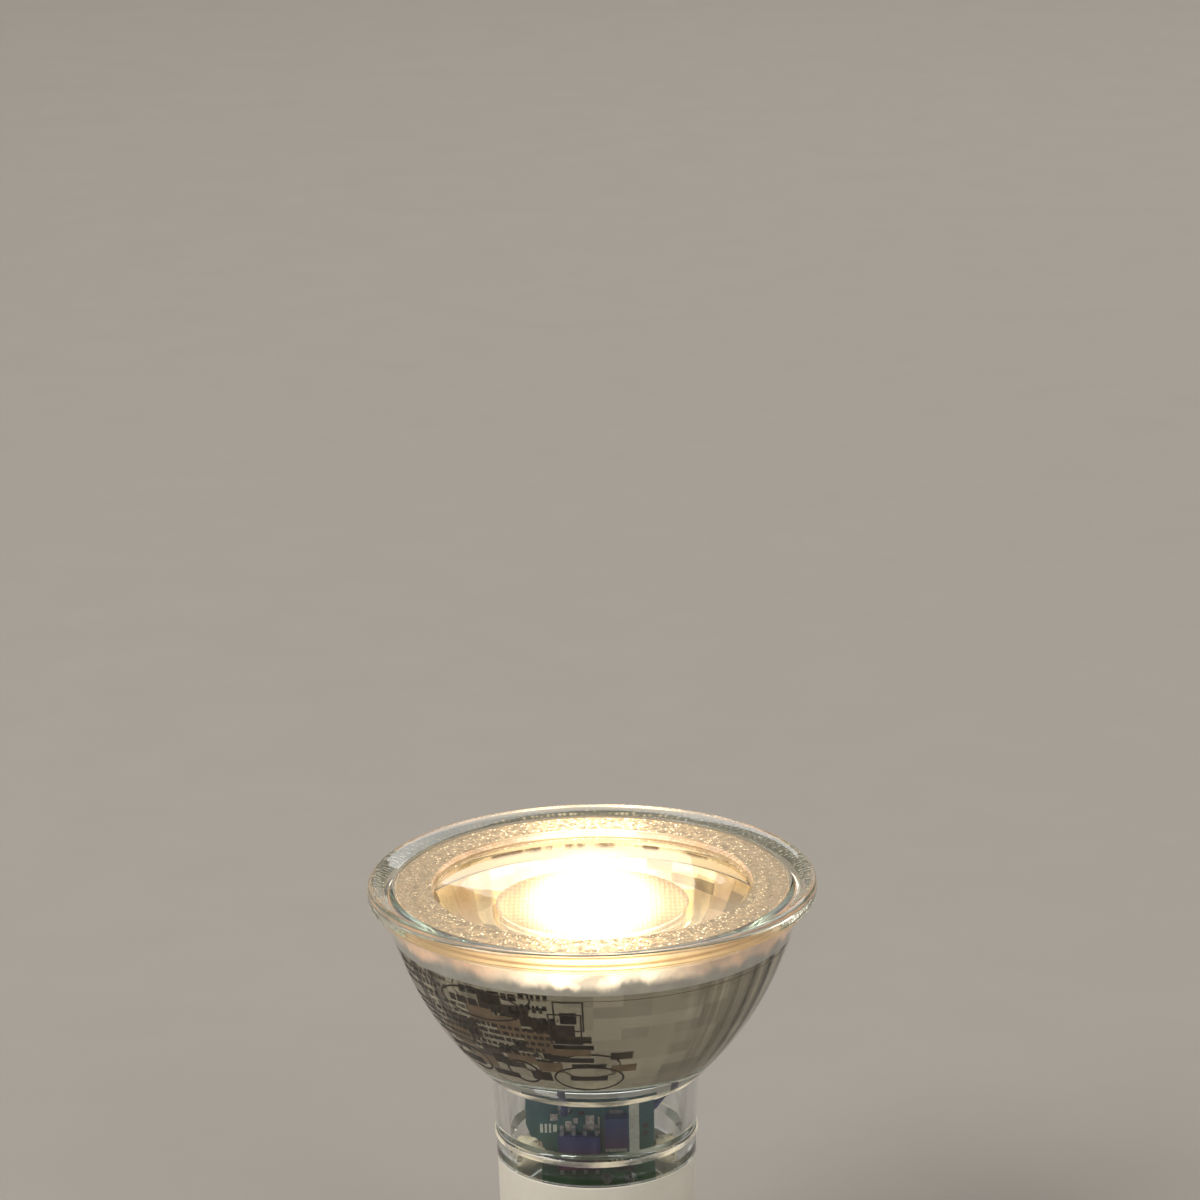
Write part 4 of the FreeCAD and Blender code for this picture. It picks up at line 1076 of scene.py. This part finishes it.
def make_package(name, low, high, bottom, top):
    """A moulded package from the height bottom to top, with a painted cool sheen towards its top, and tinned
    leads above and below its case."""
    material, tree, shader = new_material(name)
    height = height_of(tree)
    half = (top - bottom) / 2
    off_centre = math_node(tree, "ABSOLUTE", math_node(tree, "SUBTRACT", height, bottom + half))
    lead = scaled(tree, off_centre, (0.0, 1.0), (half + 0.01, half + 0.03))
    upward = scaled(tree, height, (0.0, 1.0), (bottom, top))
    case = ramp(tree, upward, [(0.1, linear(low)), (0.9, linear(high))])
    tint = mixed(tree, lead, case, linear((150, 150, 152)))
    grain = noise(tree, 5000.0, 2.0)
    gloss = scaled(tree, grain, (0.4, 0.55), (0.3, 0.7))
    set_inputs(tree, shader, Base_Color=tint, Metallic=lead, Roughness=gloss)
    bump(tree, shader, grain, 0.4, 0.03)
    return material


adhesive_glow = make_adhesive()
phosphor = make_phosphor()
solder_mask = make_board_green()
# chip and diode: purple below and a painted blue sheen towards the top
chip_case = make_package("chip_case", (62, 24, 40), (26, 34, 84), bottom=14.15, top=18.05)
diode_case = make_package("diode_case", (46, 22, 56), (20, 40, 88), bottom=16.9, top=20.5)
bridge_case = make_package("bridge_case", (40, 40, 42), (46, 46, 48), bottom=5.25, top=9.15)
dark_case = surface("dark_case", (48, 46, 48), (38, 36, 38), 0.45, 2200.0)
base_plastic = surface("base_plastic", (222, 217, 204), (214, 208, 194), 0.42, 260.0, 2600.0, 0.03,
                       Subsurface_Weight=0.12, Subsurface_Radius=(0.002, 0.0015, 0.001))
nickel = surface("nickel", (206, 202, 194), (186, 181, 172), 0.26, 500.0, 2400.0, 0.01, Metallic=1.0)
solder = surface("solder", (205, 206, 208), (168, 169, 172), 0.24, 1500.0, 2200.0, 0.1, Metallic=1.0)
tinned = surface("tinned", (198, 198, 196), (170, 170, 168), 0.28, 1200.0, 3000.0, 0.02, Metallic=1.0)
sealant_cream = surface("sealant_cream", (232, 222, 196), (214, 202, 172), 0.5, 420.0, 900.0, 0.15,
                        Subsurface_Weight=0.2, Subsurface_Radius=(0.0015, 0.0012, 0.0008))
dam_white = surface("dam_white", (240, 236, 226), (228, 222, 210), 0.5, 600.0)
board_white = surface("board_white", (232, 231, 226), (216, 215, 210), 0.4, 300.0, 1800.0, 0.02)
ceramic = surface("ceramic", (176, 148, 108), (150, 122, 86), 0.45, 1600.0)
sleeve = surface("sleeve", (36, 42, 58), (28, 33, 48), 0.3, 260.0, 1200.0, 0.03)
copper = surface("copper", (178, 92, 52), (140, 62, 34), 0.25, 900.0, 2400.0, 0.03, Metallic=1.0)
ferrite = surface("ferrite", (62, 60, 60), (46, 45, 46), 0.7, 1200.0, 3000.0, 0.05)
lacquer = surface("lacquer", (92, 140, 120), (78, 122, 104), 0.35, 600.0)
wire_sleeve = surface("wire_sleeve", (46, 56, 104), (36, 44, 86), 0.4, 500.0)

FINISHES = {
    "lens_adhesive": adhesive_glow,
    "led_board": board_white,
    "led_dam": dam_white,
    "led_phosphor": phosphor,
    "driver_board": solder_mask,
    "solder_joints": solder,
    "driver_chip": chip_case,
    "output_diode": diode_case,
    "bridge_rectifier": bridge_case,
    "chip_resistors": dark_case,
    "chip_capacitors": ceramic,
    "filter_capacitor": sleeve,
    "capacitor_leads": tinned,
    "inductor_core": ferrite,
    "inductor_winding": copper,
    "inductor_leads": tinned,
    "fusible_resistor": lacquer,
    "resistor_leads": tinned,
    "pin_wire": tinned,
    "led_wire_plus": wire_sleeve,
    "led_wire_minus": wire_sleeve,
    "silicone_left": sealant_cream,
    "silicone_right": sealant_cream,
    "base_cap": base_plastic,
    "contact_pin_left": nickel,
    "contact_pin_right": nickel,
}
for node, material in FINISHES.items():
    dress(node, material)


# Lumpy skins for the sealant dabs

SKIN_VOXEL = 0.14
# How deep the skin lies under the solid's face: in the middle, the swing about it, and at most
SKIN_DEPTH, SKIN_SWING, SKIN_DEEPEST = 0.14, 0.3, 0.4
LUMPS_PER_METRE = 480.0


def lumpy(node):
    """The dab's own solid with an uneven skin that stays inside it."""
    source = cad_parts[node]
    copy = bpy.data.objects.new(f"{node}_skin", source.data.copy())
    bpy.context.collection.objects.link(copy)
    remesh = copy.modifiers.new("remesh", "REMESH")
    remesh.mode = "VOXEL"
    remesh.voxel_size = SKIN_VOXEL * MM
    depsgraph = bpy.context.evaluated_depsgraph_get()
    mesh = bpy.data.meshes.new_from_object(copy.evaluated_get(depsgraph))
    copy.modifiers.clear()
    copy.data = mesh
    for vertex in mesh.vertices:
        lump = mathutils_noise.fractal(vertex.co * LUMPS_PER_METRE, 1.0, 2.0, 2)
        depth = min(max(SKIN_DEPTH + SKIN_SWING * lump, 0.0), SKIN_DEEPEST) * MM
        vertex.co -= vertex.normal * depth
    mesh.polygons.foreach_set("use_smooth", [True] * len(mesh.polygons))
    mesh.materials.clear()
    mesh.materials.append(sealant_cream)
    mesh.update()
    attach(copy, "root")
    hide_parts(node)


for side in ("left", "right"):
    lumpy(f"silicone_{side}")


# Stage, light and camera

FLOOR_SIZE = 12000.0


def make_floor():
    """A painted surface under the pins' tips."""
    bpy.ops.mesh.primitive_plane_add(size=FLOOR_SIZE * MM, location=(0, 0, -PIN_LENGTH * MM))
    floor = bpy.context.object
    floor.name = "floor"
    material, tree, shader = new_material("floor_paint")
    tint = ramp(tree, noise(tree, 60.0, 4.0), [
        (0.3, linear((166, 160, 153))), (0.7, linear((168, 162, 155)))])
    set_inputs(tree, shader, Base_Color=tint, Roughness=0.8, Specular_IOR_Level=0.2)
    floor.data.materials.append(material)


LAMP_TARGET = Vector((0, 0, 0.02))


def add_lamp(name, place, size, power, color):
    data = bpy.data.lights.new(name, "AREA")
    data.shape = "RECTANGLE"
    data.size, data.size_y = size
    data.energy = power
    data.color = color
    lamp = bpy.data.objects.new(name, data)
    lamp.location = place
    aim = LAMP_TARGET - Vector(place)
    lamp.rotation_euler = aim.to_track_quat("-Z", "Y").to_euler()
    bpy.context.collection.objects.link(lamp)


def make_light():
    """Three lamps aimed at the bulb's neck, in a studio of light and dark streaks for the reflections."""
    add_lamp("key", (-0.9, -0.5, 0.9), (0.7, 0.7), 10.0, (1.0, 0.98, 0.95))
    add_lamp("fill", (0.9, -0.9, 0.6), (0.9, 0.9), 3.5, (0.97, 0.98, 1.0))
    add_lamp("back", (0.3, 1.0, 0.8), (0.9, 0.5), 3.0, (1.0, 1.0, 1.0))
    world = bpy.data.worlds.new("studio")
    bpy.context.scene.world = world
    world.use_nodes = True
    tree = world.node_tree
    streaks = noise(tree, 1.6, 2.0, stretch=(3.0, 3.0, 0.25), space="Generated")
    tone = ramp(tree, streaks, [
        (0.38, (0.26, 0.25, 0.235, 1)), (0.5, (0.80, 0.77, 0.73, 1)), (0.66, (1.45, 1.4, 1.3, 1))])
    set_inputs(tree, tree.nodes["Background"], Color=tone, Strength=0.62)


# The photo's camera. Its focal length, and how far the rim's centre lies to the right of and below the
# picture's middle, are in the photo's pixels; its tilt down to the rim and its lean are in radians.
PICTURE_PIXELS = 1200.0
FOCAL_PIXELS = 4489.0
CENTRE_RIGHT_PIXELS, CENTRE_DOWN_PIXELS = -8.0, 282.1
SENSOR_WIDTH = 36.0
RIM_CENTRE_HEIGHT = 46.3
CAMERA_DISTANCE = 500.0
CAMERA_TILT, CAMERA_LEAN = 0.35007, 0.0168
CLIP_START = 10.0


def turned(first, second, angle):
    """Two directions at a right angle, turned together from the first towards the second."""
    return (first * math.cos(angle) + second * math.sin(angle),
            second * math.cos(angle) - first * math.sin(angle))


def make_camera():
    pitch = math.atan2(CENTRE_DOWN_PIXELS, FOCAL_PIXELS)
    yaw = math.atan2(CENTRE_RIGHT_PIXELS, FOCAL_PIXELS)
    right = Vector((1, 0, 0))
    up = Vector((0, math.sin(CAMERA_TILT), math.cos(CAMERA_TILT)))
    ahead = Vector((0, math.cos(CAMERA_TILT), -math.sin(CAMERA_TILT)))
    place = -ahead * (CAMERA_DISTANCE * MM)
    ahead, up = turned(ahead, up, pitch)
    right, ahead = turned(right, ahead, yaw)
    matrix = Matrix((right, up, -ahead)).transposed().to_4x4()
    matrix.translation = place
    data = bpy.data.cameras.new("camera")
    data.lens = FOCAL_PIXELS / PICTURE_PIXELS * SENSOR_WIDTH
    data.sensor_width = SENSOR_WIDTH
    data.clip_start = CLIP_START * MM
    camera = bpy.data.objects.new("camera", data)
    lean = Matrix.Rotation(CAMERA_LEAN, 4, "Y")
    camera.matrix_world = Matrix.Translation((0, 0, RIM_CENTRE_HEIGHT * MM)) @ lean @ matrix
    bpy.context.collection.objects.link(camera)
    bpy.context.scene.camera = camera


make_floor()
make_light()
make_camera()

LIGHT_BOUNCES, GLOSSY_BOUNCES = 24, 8
scene = bpy.context.scene
scene.view_settings.view_transform = "Standard"
scene.cycles.max_bounces = LIGHT_BOUNCES
scene.cycles.transmission_bounces = LIGHT_BOUNCES
scene.cycles.transparent_max_bounces = LIGHT_BOUNCES
scene.cycles.glossy_bounces = GLOSSY_BOUNCES
